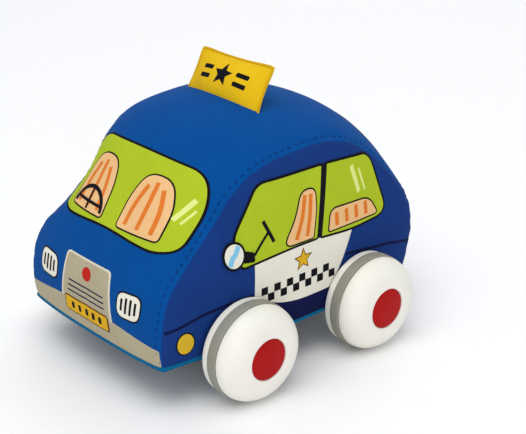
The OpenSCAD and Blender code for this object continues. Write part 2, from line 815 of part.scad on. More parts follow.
// Stands a wheel piece at its corner of the car: end 1 is the front, side 1 is the left
module at_corner(end, side) {
    x = end == 1 ? front_x : rear_x;
    mirror([0, side == 1 ? 0 : 1, 0]) across(x, wheel_y, axle_z) children();
}

// Half of the wheel on the body side: back disc, rim, tyre drum and hub tube
module wheel_inner() {
    color(wheel_white) rotate_extrude() polygon(concat(
        [[axle_r + fit_gap, 0]],
        arc([rim_r - rim_round, rim_round], rim_round, -90, 0),
        [[rim_r, tyre_s], [drum_r, tyre_s], [drum_r, outer_s], [drum_in_r, outer_s],
         [drum_in_r, wheel_wall], [hub_r, wheel_wall], [hub_r, hub_l], [axle_r + fit_gap, hub_l]]
    ));
}

// Grey ring that runs on the floor, held between the two halves
module tyre() {
    tread_r = wheel_d / 2;
    tread_round = tyre_proud;
    color(tyre_grey) rotate_extrude() polygon(concat(
        [[drum_r + fit_gap, tyre_s]],
        arc([tread_r - tread_round, tyre_s + tread_round], tread_round, -90, 0),
        arc([tread_r - tread_round, outer_s - tread_round], tread_round, 0, 90),
        [[drum_r + fit_gap, outer_s]]
    ));
}

// Domed outer half, with a recess for the hub cap and a socket for the hub tube
module wheel_outer() {
    crown_r = cap_r + screw_gap + cap_lip;
    socket_r = hub_r + fit_gap;
    socket_s = dome_s;
    outside = dome(rim_r, crown_r, dome_h);
    inside = dome(drum_in_r, crown_r, dome_h - wheel_wall);
    color(wheel_white) rotate_extrude() polygon(concat(
        arc([rim_r - rim_round, dome_s], rim_round, -90, 0),
        outside,
        [[cap_r + screw_gap, wheel_w], [cap_r + screw_gap, cap_s], [cap_stem_r + screw_gap, cap_s],
         [cap_stem_r + screw_gap, cap_s - cap_floor_t], [socket_r, cap_s - cap_floor_t],
         [socket_r, socket_s], [socket_r + wheel_wall, socket_s],
         [socket_r + wheel_wall, cap_s - cap_floor_t], [crown_r, cap_s - cap_floor_t]],
        [for (i = [dome_steps:-1:0]) if (inside[i].y < cap_s - cap_floor_t) inside[i]],
        [[drum_in_r, outer_s]]
    ));
}

// Red button in the middle of the wheel
module hub_cap() {
    face_r = (cap_r * cap_r + cap_crown * cap_crown) / (2 * cap_crown);
    face_angle = asin(cap_r / face_r);
    color(hub_red) rotate_extrude() polygon(concat(
        [[0, cap_s - cap_stem_l], [cap_stem_r, cap_s - cap_stem_l], [cap_stem_r, cap_s], [cap_r, cap_s]],
        arc([0, wheel_w + cap_crown - face_r], face_r, 90 - face_angle, 90)
    ));
}

module front_left_wheel_inner() { at_corner(1, 1) wheel_inner(); }
module front_left_tyre() { at_corner(1, 1) tyre(); }
module front_left_wheel_outer() { at_corner(1, 1) wheel_outer(); }
module front_left_hub_cap() { at_corner(1, 1) hub_cap(); }
module front_right_wheel_inner() { at_corner(1, -1) wheel_inner(); }
module front_right_tyre() { at_corner(1, -1) tyre(); }
module front_right_wheel_outer() { at_corner(1, -1) wheel_outer(); }
module front_right_hub_cap() { at_corner(1, -1) hub_cap(); }
module rear_left_wheel_inner() { at_corner(-1, 1) wheel_inner(); }
module rear_left_tyre() { at_corner(-1, 1) tyre(); }
module rear_left_wheel_outer() { at_corner(-1, 1) wheel_outer(); }
module rear_left_hub_cap() { at_corner(-1, 1) hub_cap(); }
module rear_right_wheel_inner() { at_corner(-1, -1) wheel_inner(); }
module rear_right_tyre() { at_corner(-1, -1) tyre(); }
module rear_right_wheel_outer() { at_corner(-1, -1) wheel_outer(); }
module rear_right_hub_cap() { at_corner(-1, -1) hub_cap(); }

top_panel();
left_side_panel();
right_side_panel();
base_panel();
body_filling();
sign_front_panel();
sign_back_panel();
sign_filling();
chassis_tray();
axle_tubes();
clamp_frame();
chassis_screws();
motor_case_left();
motor_case_right();
case_screws();
drive_pinion();
intermediate_gear();
intermediate_pin();
spring_gear();
mainspring();
front_axle();
rear_axle();
front_left_wheel_inner();
front_left_tyre();
front_left_wheel_outer();
front_left_hub_cap();
front_right_wheel_inner();
front_right_tyre();
front_right_wheel_outer();
front_right_hub_cap();
rear_left_wheel_inner();
rear_left_tyre();
rear_left_wheel_outer();
rear_left_hub_cap();
rear_right_wheel_inner();
rear_right_tyre();
rear_right_wheel_outer();
rear_right_hub_cap();
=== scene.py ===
"""Looks of a soft pull-back police car.

A stuffed cloth body with printed windows, doors, lamps and bumpers, a small yellow
pillow on the roof, and four hard wheels that turn with their steel axles.
"""
import json
import logging
import math
from bisect import bisect_left
from contextlib import contextmanager
from dataclasses import dataclass, field
from enum import Enum
from functools import cache, cached_property
from typing import Callable, ClassVar, Iterable, Iterator, Sequence

import bpy
from mathutils import Matrix, Vector
from mathutils.bvhtree import BVHTree
from mathutils.geometry import delaunay_2d_cdt
from mathutils.kdtree import KDTree

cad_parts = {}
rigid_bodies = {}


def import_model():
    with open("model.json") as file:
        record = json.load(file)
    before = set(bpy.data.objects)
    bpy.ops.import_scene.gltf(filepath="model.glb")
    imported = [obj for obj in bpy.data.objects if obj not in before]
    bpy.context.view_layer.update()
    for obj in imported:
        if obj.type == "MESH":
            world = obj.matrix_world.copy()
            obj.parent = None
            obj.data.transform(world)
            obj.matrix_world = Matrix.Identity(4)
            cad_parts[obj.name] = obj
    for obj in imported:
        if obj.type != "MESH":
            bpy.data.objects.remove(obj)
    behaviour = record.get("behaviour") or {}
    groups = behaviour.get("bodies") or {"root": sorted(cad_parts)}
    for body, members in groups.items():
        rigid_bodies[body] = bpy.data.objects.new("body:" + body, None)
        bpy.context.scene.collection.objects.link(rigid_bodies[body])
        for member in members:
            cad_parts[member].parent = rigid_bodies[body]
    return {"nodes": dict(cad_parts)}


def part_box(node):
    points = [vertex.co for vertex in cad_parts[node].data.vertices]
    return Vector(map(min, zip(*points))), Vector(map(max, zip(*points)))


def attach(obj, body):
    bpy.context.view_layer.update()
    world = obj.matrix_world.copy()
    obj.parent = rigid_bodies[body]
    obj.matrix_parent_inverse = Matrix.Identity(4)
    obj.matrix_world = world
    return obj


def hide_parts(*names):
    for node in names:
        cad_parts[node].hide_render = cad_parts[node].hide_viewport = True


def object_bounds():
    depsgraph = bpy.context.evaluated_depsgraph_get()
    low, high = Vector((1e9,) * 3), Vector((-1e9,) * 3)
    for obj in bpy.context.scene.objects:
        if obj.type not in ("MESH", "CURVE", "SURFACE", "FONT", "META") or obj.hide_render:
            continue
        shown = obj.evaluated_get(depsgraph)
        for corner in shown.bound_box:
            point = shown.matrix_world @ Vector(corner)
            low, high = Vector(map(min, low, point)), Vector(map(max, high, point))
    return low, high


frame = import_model()
CAD_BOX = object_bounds()

LOG = logging.getLogger("police_car")
MM = 0.001
BODY = "car_body"
# Distance under which two points are one, and a length that keeps a division from meeting zero
SAME_POINT = 0.01 * MM
TINY = 1e-9
Point2 = tuple[float, float]
Outline = list[Point2]
Corners = Sequence[tuple[float, float, float]]
Links = dict[str | int, bpy.types.NodeSocket]


# Small helpers for colours, nodes, selection and meshes

def linear(hex_colour: str) -> tuple[float, float, float, float]:
    """Turns an sRGB hex colour into linear light.

    Args:
        hex_colour: Colour such as "#1059a8".

    Returns:
        Red, green, blue and a full alpha.
    """
    channels = [int(hex_colour[i:i + 2], 16) / 255 for i in (1, 3, 5)]
    light = [c / 12.92 if c <= 0.04045 else ((c + 0.055) / 1.055) ** 2.4 for c in channels]
    return light[0], light[1], light[2], 1.0


def add_node(
    material: bpy.types.Material, kind: str, settings: dict | None = None, links: Links | None = None
) -> bpy.types.Node:
    """Adds one shader node.

    Args:
        material: Material whose tree gets the node.
        kind: Type name of the node.
        settings: Values for its input sockets or, where no socket has that name, its properties.
        links: Output sockets to join to its input sockets.

    Returns:
        The new node.
    """
    node = material.node_tree.nodes.new(kind)
    for key, value in (settings or {}).items():
        if key in node.inputs:
            node.inputs[key].default_value = value
        else:
            setattr(node, key, value)
    for key, source in (links or {}).items():
        material.node_tree.links.new(source, node.inputs[key])
    return node


def pick_only(*objects: bpy.types.Object) -> None:
    """Selects some objects alone, and makes the first one active.

    Args:
        objects: The objects.
    """
    bpy.ops.object.select_all(action="DESELECT")
    for obj in objects:
        obj.select_set(True)
    bpy.context.view_layer.objects.active = objects[0]


@contextmanager
def whole_mesh_in_edit(obj: bpy.types.Object) -> Iterator[None]:
    """Enters edit mode with an object's whole mesh selected, and leaves it at the end.

    Args:
        obj: The object.

    Yields:
        Nothing.
    """
    pick_only(obj)
    bpy.ops.object.mode_set(mode="EDIT")
    bpy.ops.mesh.select_all(action="SELECT")
    yield
    bpy.ops.object.mode_set(mode="OBJECT")


def modify(obj: bpy.types.Object, kind: str, **settings: object) -> None:
    """Adds a modifier to an object and applies it.

    Args:
        obj: The object.
        kind: Type name of the modifier.
        settings: Values of its properties.
    """
    modifier = obj.modifiers.new(kind.lower(), kind)
    for key, value in settings.items():
        setattr(modifier, key, value)
    pick_only(obj)
    bpy.ops.object.modifier_apply(modifier=modifier.name)


def link_object(name: str, data: bpy.types.ID) -> bpy.types.Object:
    """Makes an object at the origin and links it to the scene.

    Args:
        name: Name of the object.
        data: Its mesh, curve, light or camera.

    Returns:
        The new object.
    """
    obj = bpy.data.objects.new(name, data)
    bpy.context.scene.collection.objects.link(obj)
    return obj


def mesh_object(
    name: str, points: Iterable[Sequence[float]], faces: Iterable[Sequence[int]],
    edges: Iterable[Sequence[int]] = (),
) -> bpy.types.Object:
    """Makes a mesh object at the origin.

    Args:
        name: Name of the object.
        points: Its vertices, in metres.
        faces: Vertex numbers of each face.
        edges: Vertex numbers of each edge that belongs to no face.

    Returns:
        The new object, linked to the scene.
    """
    mesh = bpy.data.meshes.new(name)
    mesh.from_pydata([tuple(p) for p in points], list(edges), [tuple(f) for f in faces])
    return link_object(name, mesh)


def grid_faces(rows: int, cols: int, closed: bool = False) -> list[tuple[int, ...]]:
    """Quads between the points of a grid.

    Args:
        rows: Number of rows of points.
        cols: Points in each row.
        closed: True if the last column joins the first.

    Returns:
        Vertex numbers of each quad, row by row.
    """
    quads = []
    for i in range(rows - 1):
        for j in range(cols if closed else cols - 1):
            k = (j + 1) % cols
            quads.append((i * cols + j, i * cols + k, (i + 1) * cols + k, (i + 1) * cols + j))
    return quads


def face_outwards(obj: bpy.types.Object, merge: float = 0.0) -> None:
    """Merges doubles and turns all faces of a mesh outwards.

    A thin form can come out of the first turn inside out, so the sign of its volume is tested too.

    Args:
        obj: The object.
        merge: Distance under which vertices are one, in metres; 0 merges none.
    """
    with whole_mesh_in_edit(obj):
        if merge:
            bpy.ops.mesh.remove_doubles(threshold=merge)
        bpy.ops.mesh.normals_make_consistent(inside=False)
    if sum(p.center.dot(p.normal) * p.area for p in obj.data.polygons) < 0:
        obj.data.flip_normals()


def surface_of(obj: bpy.types.Object) -> BVHTree:
    """Makes a search tree of an object's faces, for what is laid on them.

    Args:
        obj: The object.

    Returns:
        The tree.
    """
    mesh = obj.data
    return BVHTree.FromPolygons(
        [v.co.copy() for v in mesh.vertices], [tuple(p.vertices) for p in mesh.polygons])


def point_tree(points: Sequence[Vector]) -> KDTree:
    """Makes a search tree of points.

    Args:
        points: The points.

    Returns:
        The tree, in which a point is known by its number in the list.
    """
    tree = KDTree(len(points))
    for i, point in enumerate(points):
        tree.insert(point, i)
    tree.balance()
    return tree


def tube_along(name: str, line: Sequence[Vector], radius: float, closed: bool) -> bpy.types.Object:
    """Makes a round tube along a line of points.

    Args:
        name: Name of the object.
        line: Points of the line, in metres.
        radius: Radius of the tube.
        closed: True if the last point joins the first.

    Returns:
        The tube as a mesh.
    """
    curve = bpy.data.curves.new(name, "CURVE")
    curve.dimensions = "3D"
    curve.bevel_depth = radius
    curve.bevel_resolution = 3
    curve.use_fill_caps = not closed
    spline = curve.splines.new("POLY")
    spline.points.add(len(line) - 1)
    for point, place in zip(spline.points, line):
        point.co = (*place, 1)
    spline.use_cyclic_u = closed
    tube = link_object(name, curve)
    pick_only(tube)
    bpy.ops.object.convert(target="MESH")
    tube = bpy.context.object
    face_outwards(tube, merge=SAME_POINT)
    shade_smooth(tube)
    return tube


def shade_smooth(obj: bpy.types.Object, angle: float = 40.0) -> None:
    """Shades a mesh smooth across edges that turn less than an angle, in degrees."""
    pick_only(obj)
    bpy.ops.object.shade_smooth_by_angle(angle=math.radians(angle))


# Finishes

# A wave pattern of scale 1 repeats after this length, in metres
WAVE_LENGTH = 2 * math.pi / 20


@dataclass(frozen=True)
class Finish:
    """What every finish has: a name, a colour, and a shade that lies over it in patches."""

    name: str
    colour: str
    shade: str

    def build(self) -> bpy.types.Material:
        """Makes the material."""
        raise NotImplementedError

    def two_tone(
        self, material: bpy.types.Material, place: bpy.types.NodeSocket, size: float, detail: float,
        roughness: float,
    ) -> tuple[bpy.types.NodeSocket, bpy.types.NodeSocket]:
        """Lays the shade over the colour in soft patches.

        Args:
            material: The material.
            place: Coordinates of the pattern.
            size: Size of the patches, in metres.
            detail: Number of finer sizes that are mixed in.
            roughness: How strong the finer sizes are.

        Returns:
            The patches, from 0 to 1, and the colour.
        """
        patches = add_node(
            material, "ShaderNodeTexNoise", {"Scale": 1 / size, "Detail": detail, "Roughness": roughness},
            {"Vector": place}).outputs["Fac"]
        tint = add_node(
            material, "ShaderNodeMixRGB", {"Color1": linear(self.colour), "Color2": linear(self.shade)},
            {"Fac": patches})
        return patches, tint.outputs["Color"]


@dataclass(frozen=True)
class Cloth(Finish):
    """Woven polyester, brushed, dyed or printed: matte, with a faint nap and a fine thread."""

    roughness: float = 0.8
    sheen: float = 0.015
    thread: float = 1.0 * MM
    thread_depth: float = 0.09 * MM
    mottle_size: float = 14.0 * MM

    def build(self) -> bpy.types.Material:
        """Makes the material.

        Real threads are near 0.4 mm; they are drawn coarser so that they show.

        Returns:
            The material.
        """
        material, place = start_material(self.name)
        _, tint = self.two_tone(material, place, self.mottle_size, detail=4.0, roughness=0.6)
        threads = [
            add_node(
                material, "ShaderNodeTexWave",
                {"bands_direction": axis, "Scale": WAVE_LENGTH / self.thread, "Distortion": 0.5,
                 "Detail": 1.0, "Detail Scale": 0.4},
                {"Vector": place}).outputs["Fac"]
            for axis in ("X", "Y", "Z")
        ]
        weave = threads[0]
        for thread in threads[1:]:
            weave = add_node(
                material, "ShaderNodeMath", {"operation": "ADD"}, {0: weave, 1: thread}).outputs[0]
        bump = add_node(
            material, "ShaderNodeBump", {"Strength": 0.22, "Distance": self.thread_depth}, {"Height": weave})
        finish_surface(
            material,
            {"Roughness": self.roughness, "Sheen Weight": self.sheen, "Sheen Roughness": 0.5,
             "Specular IOR Level": 0.05},
            {"Base Color": tint, "Normal": bump.outputs["Normal"]})
        return material


@dataclass(frozen=True)
class Moulded(Finish):
    """Injection-moulded plastic or rubber: an even skin with a fine grain and faint rubbed patches."""

    roughness: float
    grain: float = 0.6 * MM
    grain_depth: float = 0.01 * MM
    rub_size: float = 9.0 * MM
    rub_span: float = 0.12
    gloss: float = 0.4

    def build(self) -> bpy.types.Material:
        """Makes the material.

        The grain of a mould is near 0.1 mm; it is drawn coarser so that it shows.

        Returns:
            The material.
        """
        material, place = start_material(self.name)
        rub, tint = self.two_tone(material, place, self.rub_size, detail=5.0, roughness=0.65)
        dullness = add_node(
            material, "ShaderNodeMapRange",
            {"To Min": self.roughness - self.rub_span / 2, "To Max": self.roughness + self.rub_span / 2},
            {"Value": rub})
        grain = add_node(
            material, "ShaderNodeTexNoise", {"Scale": 1 / self.grain, "Detail": 2.0}, {"Vector": place})
        bump = add_node(
            material, "ShaderNodeBump", {"Strength": 0.3, "Distance": self.grain_depth},
            {"Height": grain.outputs["Fac"]})
        finish_surface(
            material, {"Specular IOR Level": self.gloss},
            {"Base Color": tint, "Roughness": dullness.outputs["Result"], "Normal": bump.outputs["Normal"]})
        return material


@dataclass(frozen=True)
class Metal(Finish):
    """Drawn steel wire and strip: bright, with fine lines along the way it was drawn."""

    roughness: float = 0.28
    brighter: float = 0.08
    duller: float = 0.12
    line: float = 0.25 * MM
    line_stretch: float = 0.03

    def build(self) -> bpy.types.Material:
        """Makes the material, with lines that run across the car as the axles do.

        Returns:
            The material.
        """
        material, place = start_material(self.name)
        along = add_node(
            material, "ShaderNodeMapping", {"Scale": (1.0, self.line_stretch, 1.0)}, {"Vector": place})
        lines, tint = self.two_tone(material, along.outputs["Vector"], self.line, detail=3.0, roughness=0.5)
        dullness = add_node(
            material, "ShaderNodeMapRange",
            {"To Min": self.roughness - self.brighter, "To Max": self.roughness + self.duller},
            {"Value": lines})
        finish_surface(
            material, {"Metallic": 1.0}, {"Base Color": tint, "Roughness": dullness.outputs["Result"]})
        return material


def start_material(name: str) -> tuple[bpy.types.Material, bpy.types.NodeSocket]:
    """Starts a node material.

    Args:
        name: Name of the material.

    Returns:
        The material, and its object coordinates.
    """
    material = bpy.data.materials.new(name)
    material.use_nodes = True
    material.node_tree.nodes.clear()
    return material, add_node(material, "ShaderNodeTexCoord").outputs["Object"]


def finish_surface(material: bpy.types.Material, settings: dict, links: Links) -> None:
    """Adds the surface shader and the output.

    Args:
        material: The material.
        settings: Constant values of the shader.
        links: Patterns that drive the shader.
    """
    shader = add_node(material, "ShaderNodeBsdfPrincipled", settings, links)
    add_node(material, "ShaderNodeOutputMaterial", None, {"Surface": shader.outputs["BSDF"]})


@cache
def material_of(finish: Finish) -> bpy.types.Material:
    """Gives the one material of a finish."""
    return finish.build()


# Brushed polyester, dyed: soft and matte, so the light falls off slowly and nothing glints
COVER_BLUE = Cloth("brushed_polyester_blue", "#004c95", "#004387")
# The sides' indigo is partly the cloth's own darker hue and partly painted shade, darker than the roof
# because the sides get less light
SIDE_INDIGO_AND_SHADE = Cloth("brushed_polyester_indigo_and_painted_shade", "#17397e", "#123271")
SIGN_YELLOW = Cloth("brushed_polyester_yellow", "#e8c11b", "#d6a915")
# Woven and folded polyester: a closer thread and a darker tone, which draw a firm line round an edge; on the
# pillow's folded edge the darker yellow is painted shade along its seam
HEM_TEAL = Cloth("woven_polyester_tape_teal", "#0b6a96", "#085880", thread=0.8 * MM)
SIGN_EDGE_SHADE = Cloth("folded_polyester_yellow_painted_shade", "#d8ae18", "#c89c10", thread=0.7 * MM)
# Twisted polyester thread: small dark ticks along the seams
THREAD_NAVY = Cloth("twisted_polyester_thread_navy", "#0c2a66", "#081f52", thread=0.5 * MM)
# Screen-printed polyester: flat, even colours with crisp edges, and the weave still shows through
GLASS_GREEN = Cloth("printed_polyester_green", "#b0c329", "#a0b523")
INK_BLACK = Cloth("printed_polyester_black", "#16161c", "#0f0f14")
INK_NAVY = Cloth("printed_polyester_navy", "#10194a", "#0b123a")
TRIM_BEIGE = Cloth("printed_polyester_beige", "#b6ac92", "#a69c80")
TRIM_PALE = Cloth("printed_polyester_pale_beige", "#dcd6c6", "#cfc8b4")
PLATE_GOLD = Cloth("printed_polyester_gold", "#e2b428", "#d09e1c")
PLATE_BROWN = Cloth("printed_polyester_brown", "#6e4a1c", "#5f3e16")
DOOR_WHITE = Cloth("printed_polyester_white", "#e9e6d9", "#ddd9ca")
LENS_BLUE = Cloth("printed_polyester_pale_blue", "#86c6e6", "#72b8dc")
LAMP_RED = Cloth("printed_polyester_red", "#c4281f", "#b01f18")
LAMP_AMBER = Cloth("printed_polyester_amber", "#dcba34", "#caa426")
SEAT_TAN = Cloth("printed_polyester_tan", "#ecc08a", "#e0b078")
SEAT_ORANGE = Cloth("printed_polyester_orange", "#e07f34", "#d37028")
GLARE = Cloth("printed_polyester_pale_green", "#dfe98e", "#d3df7c")
# Moulded ABS from a smooth mould: clean and pale, with one broad soft highlight round the dome
WHEEL_WHITE = Moulded("moulded_abs_white", "#efede4", "#e7e4da", 0.42)
# Moulded ABS, evenly dull: a deep red that hardly reflects, so it reads as one flat disc
HUB_RED = Moulded("moulded_abs_red", "#b01212", "#a00d0d", 0.5, gloss=0.08)
# Moulded rubber: a dull, slightly rough skin with no highlight
TYRE_GREY = Moulded("moulded_rubber_grey", "#97968a", "#8a897c", 0.72, grain=0.5 * MM, grain_depth=0.03 * MM)
# Moulded ABS with a grained skin: dark and satin, so that the ribs show only as soft edges
CHASSIS_BLACK = Moulded("moulded_abs_black", "#222226", "#1a1a1d", 0.55, grain_depth=0.03 * MM)
CASE_GREY = Moulded("moulded_abs_grey", "#55575d", "#494b50", 0.5)
# Moulded acetal: off-white and a little waxy, with soft highlights on the teeth
GEAR_WHITE = Moulded("moulded_acetal_white", "#e2dfd2", "#d6d2c3", 0.4)
# Drawn steel: bright, with streaks along its length
STEEL = Metal("drawn_steel", "#bcbec2", "#9fa2a6")
# Matte paper, smooth: a pale ground that shows nothing but soft shadows
STUDIO_PAPER = Moulded("matte_paper_white", "#fbfbfb", "#f7f7f7", 0.9, grain_depth=0.0)


def dress(
    piece: bpy.types.Object, finish: Finish | None = None, body: str = BODY,
    stands_for: Sequence[str] = (),
) -> None:
    """Gives a piece its material, hangs it on the body it rides on, and hides the solids it stands for.

    Args:
        piece: The piece.
        finish: Its finish; None if its faces have theirs.
        body: Body that it rides on.
        stands_for: Solids that it replaces.
    """
    if finish:
        piece.data.materials.append(material_of(finish))
    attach(piece, body)
    if stands_for:
        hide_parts(*stands_for)
    LOG.info("made %s", piece.name)


# The stuffed body

def curve_through(points: Sequence[Sequence[float]], s: float) -> list[float]:
    """Smooth curve through a list of points.

    Args:
        points: The points, of any number of values each.
        s: Place on the curve, counted in points.

    Returns:
        The values there.
    """
    last = len(points) - 1
    i = min(int(s), last - 1)
    u = s - i
    a, b, c, d = points[max(i - 1, 0)], points[i], points[i + 1], points[min(i + 2, last)]
    return [
        (2 * q + (r - p) * u + (2 * p - 5 * q + 4 * r - t) * u * u + (3 * q - p - 3 * r + t) * u ** 3) / 2
        for p, q, r, t in zip(a, b, c, d)
    ]


def look_up(x: float, xs: Sequence[float], ys: Sequence[float]) -> float:
    """Value at x on the broken line through points whose xs rise."""
    i = min(max(bisect_left(xs, x), 1), len(xs) - 1)
    return ys[i - 1] + (ys[i] - ys[i - 1]) * (x - xs[i - 1]) / (xs[i] - xs[i - 1])


def even_warp(n: int, even_share: float = 0.7) -> list[float]:
    """Steps from 0 to 1 that are shorter near both ends, the more so with a smaller even share."""
    crowding = (1 - even_share) / 2
    return [even_share * i / n + crowding * (1 - math.cos(math.pi * i / n)) for i in range(n + 1)]


@dataclass(frozen=True)
class ClothForm:
    """Form that the cut panels give the body: a wrap panel over the top, and two bulging sides."""

    length: float = 126.0 * MM
    width: float = 76.0 * MM
    height: float = 73.2 * MM
    side_bulge: float = 2.7 * MM
    hem_bow: float = 3.6 * MM
    screen_crown: float = 2.8
    roof_crown: float = 2.2
    crown_change: tuple[float, float] = (5.5, 7.5)
    bulge_power: float = 2.2
    side_mid_share: float = 0.303
    hem: float = field(default_factory=lambda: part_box("top_panel")[0].z)
    run_steps: int = 80
    rim_steps: int = 30
    hem_steps: int = 100
    # Middle line from the front hem over the roof to the back hem: shares of half length and height
    crest_shares: tuple[Point2, ...] = (
        (0.971, 0), (0.997, 0.1), (0.994, 0.232), (0.955, 0.371), (0.844, 0.499),
        (0.721, 0.654), (0.583, 0.807), (0.359, 0.941), (0.067, 1), (-0.26, 0.984),
        (-0.575, 0.889), (-0.823, 0.712), (-0.957, 0.461), (-1, 0.226), (-0.944, 0),
    )
    # The seam beside it: shares of half length, height and half width
    seam_shares: tuple[tuple[float, float, float], ...] = (
        (0.941, 0, 0.99), (0.957, 0.1, 1.005), (0.939, 0.247, 1.008), (0.868, 0.38, 0.993),
        (0.722, 0.485, 0.962), (0.555, 0.615, 0.946), (0.42, 0.753, 0.974), (0.219, 0.844, 1.005),
        (-0.03, 0.867, 1.003), (-0.278, 0.86, 1), (-0.508, 0.776, 0.991), (-0.727, 0.611, 0.988),
        (-0.906, 0.426, 0.995), (-0.955, 0.226, 0.998), (-0.907, 0, 0.978),
    )

    @property
    def spans(self) -> int:
        """Number of spans along the wrap panel."""
        return len(self.crest_shares) - 1

    def crest(self, s: float) -> Vector:
        """Point on the middle line, s spans from the front hem."""
        along, up = curve_through(self.crest_shares, s)
        return Vector((along * self.length / 2, 0, self.hem + up * self.height))

    def seam(self, s: float) -> Vector:
        """Point on the left seam, s spans from the front hem."""
        along, up, across = curve_through(self.seam_shares, s)
        return Vector((along * self.length / 2, across * self.width / 2, self.hem + up * self.height))

    def crown_power(self, s: float) -> float:
        """Finds how full the wrap panel's section is.

        Args:
            s: Place along the panel, in spans.

        Returns:
            The power of its curve; a higher one is fuller.
        """
        start, end = self.crown_change
        share = min(max((s - start) / (end - start), 0), 1)
        return self.screen_crown + (self.roof_crown - self.screen_crown) * share * share * (3 - 2 * share)

    def wrap(self, s: float, v: float) -> Vector:
        """Finds a point on the wrap panel.

        Args:
            s: Place along the panel, in spans.
            v: Place across it, from -1 on the right to 1 on the left.

        Returns:
            The point.
        """
        middle, edge = self.crest(s), self.seam(s)
        fall = abs(v) ** self.crown_power(s)
        return Vector((
            middle.x + (edge.x - middle.x) * fall, edge.y * v, middle.z + (edge.z - middle.z) * fall))

    def hem_point(self, u: float) -> Vector:
        """Finds a point on the left bottom edge.

        Args:
            u: Place along it, from 0 at the back to 1 at the front.

        Returns:
            The point.
        """
        point = self.seam(self.spans).lerp(self.seam(0), u)
        point.y += self.hem_bow * (1 - (2 * u - 1) ** 2)
        return point

    def run_of(self, line: Callable[[float], Vector]) -> tuple[list[float], list[float]]:
        """Measures a line of the wrap panel.

        Args:
            line: Gives the point of the line at a place in spans.

        Returns:
            Places along it in spans, and the length of cloth up to each.
        """
        places = [i / self.run_steps for i in range(self.spans * self.run_steps + 1)]
        lengths = [0.0]
        for a, b in zip(places, places[1:]):
            lengths.append(lengths[-1] + (line(b) - line(a)).length)
        return places, lengths

    @cached_property
    def crest_run(self) -> tuple[list[float], list[float]]:
        """Places and lengths along the middle line."""
        return self.run_of(self.crest)

    @cached_property
    def seam_run(self) -> tuple[list[float], list[float]]:
        """Places and lengths along the left seam."""
        return self.run_of(self.seam)

    def span_at(self, length: float) -> float:
        """Place in spans that lies a length of cloth from the front hem."""
        places, lengths = self.crest_run
        return look_up(length, lengths, places)

    def length_at(self, s: float) -> float:
        """Length of cloth from the front hem to a place in spans."""
        places, lengths = self.crest_run
        return look_up(s, places, lengths)

    @property
    def side_mid(self) -> Vector:
        """Fullest point of the left side."""
        return Vector((0, self.width / 2 + self.side_bulge, self.hem + self.side_mid_share * self.height))

    @cached_property
    def side_rim(self) -> list[tuple[float, float, float]]:
        """Edge of the left side, seen from its fullest point.

        Returns:
            Angle, distance and y of points round the edge, sorted by angle.
        """
        edge = [self.seam(i / self.rim_steps) for i in range(self.spans * self.rim_steps + 1)]
        edge += [self.hem_point(i / self.hem_steps) for i in range(1, self.hem_steps)]
        middle = self.side_mid
        rim = sorted(
            (math.atan2(p.z - middle.z, p.x), math.hypot(p.x, p.z - middle.z), p.y) for p in edge)
        first, last = rim[0], rim[-1]
        turn = 2 * math.pi
        return [(last[0] - turn, *last[1:]), *rim, (first[0] + turn, *first[1:])]

    def side_y(self, x: float, z: float) -> float:
        """Finds how far out the left side lies.

        Args:
            x: Place forwards.
            z: Place above the floor.

        Returns:
            The y of the cloth there.
        """
        middle = self.side_mid
        angle = math.atan2(z - middle.z, x)
        i = min(max(bisect_left(self.side_rim, (angle,)), 1), len(self.side_rim) - 1)
        a, b = self.side_rim[i - 1], self.side_rim[i]
        share = (angle - a[0]) / max(b[0] - a[0], TINY)
        reach = a[1] + (b[1] - a[1]) * share
        edge_y = a[2] + (b[2] - a[2]) * share
        fall = min(math.hypot(x, z - middle.z) / reach, 1.0) ** self.bulge_power
        return middle.y + (edge_y - middle.y) * fall


@dataclass(frozen=True)
class Settling:
    """How a stuffed cover moves between its seams: out under its filling, or in if it is drawn in."""

    pressure: float
    most_move: float
    slack: float = 0.01
    drawn_in: bool = False
    steps: int = 20
    enlarge: float = 20.0
    quality: int = 5
    mass: float = 0.3
    stretch_stiffness: float = 15.0
    shear_stiffness: float = 5.0
    bending_stiffness: float = 0.5

    def run(self, obj: bpy.types.Object, sewn: Sequence[int]) -> None:
        """Lets the cover settle and keeps the settled form.

        The cover is enlarged while it settles, because the solver suits cloth of furniture size. The
        pressure works along its normals, so a cover that is drawn in is turned inside out meanwhile.

        Args:
            obj: The cover.
            sewn: Vertices that the seams hold in place.
        """
        start = [v.co.copy() for v in obj.data.vertices]
        if self.drawn_in:
            obj.data.flip_normals()
        obj.data.transform(Matrix.Scale(self.enlarge, 4))
        group = obj.vertex_groups.new(name="sewn")
        group.add(list(sewn), 1.0, "REPLACE")
        modifier = obj.modifiers.new("settle", "CLOTH")
        cloth = modifier.settings
        cloth.quality = self.quality
        cloth.mass = self.mass
        cloth.tension_stiffness = cloth.compression_stiffness = self.stretch_stiffness
        cloth.shear_stiffness = self.shear_stiffness
        cloth.bending_stiffness = self.bending_stiffness
        cloth.use_pressure = True
        cloth.uniform_pressure_force = self.pressure
        cloth.vertex_group_mass = group.name
        cloth.shrink_min = -self.slack
        cloth.effector_weights.gravity = 0
        modifier.collision_settings.use_collision = False
        for step in range(1, self.steps + 1):
            bpy.context.scene.frame_set(step)
        settled = obj.evaluated_get(bpy.context.evaluated_depsgraph_get()).data
        ends = [v.co / self.enlarge for v in settled.vertices]
        obj.modifiers.remove(modifier)
        obj.vertex_groups.remove(group)
        if self.drawn_in:
            obj.data.flip_normals()
        bpy.context.scene.frame_set(1)
        widest = 0.0
        for vertex, before, after in zip(obj.data.vertices, start, ends):
            move = after - before
            widest = max(widest, move.length)
            share = self.most_move * math.tanh(move.length / self.most_move) / max(move.length, TINY)
            vertex.co = before + move * share
        LOG.info("%s settled, widest move %.2f mm before the cap", obj.name, widest / MM)


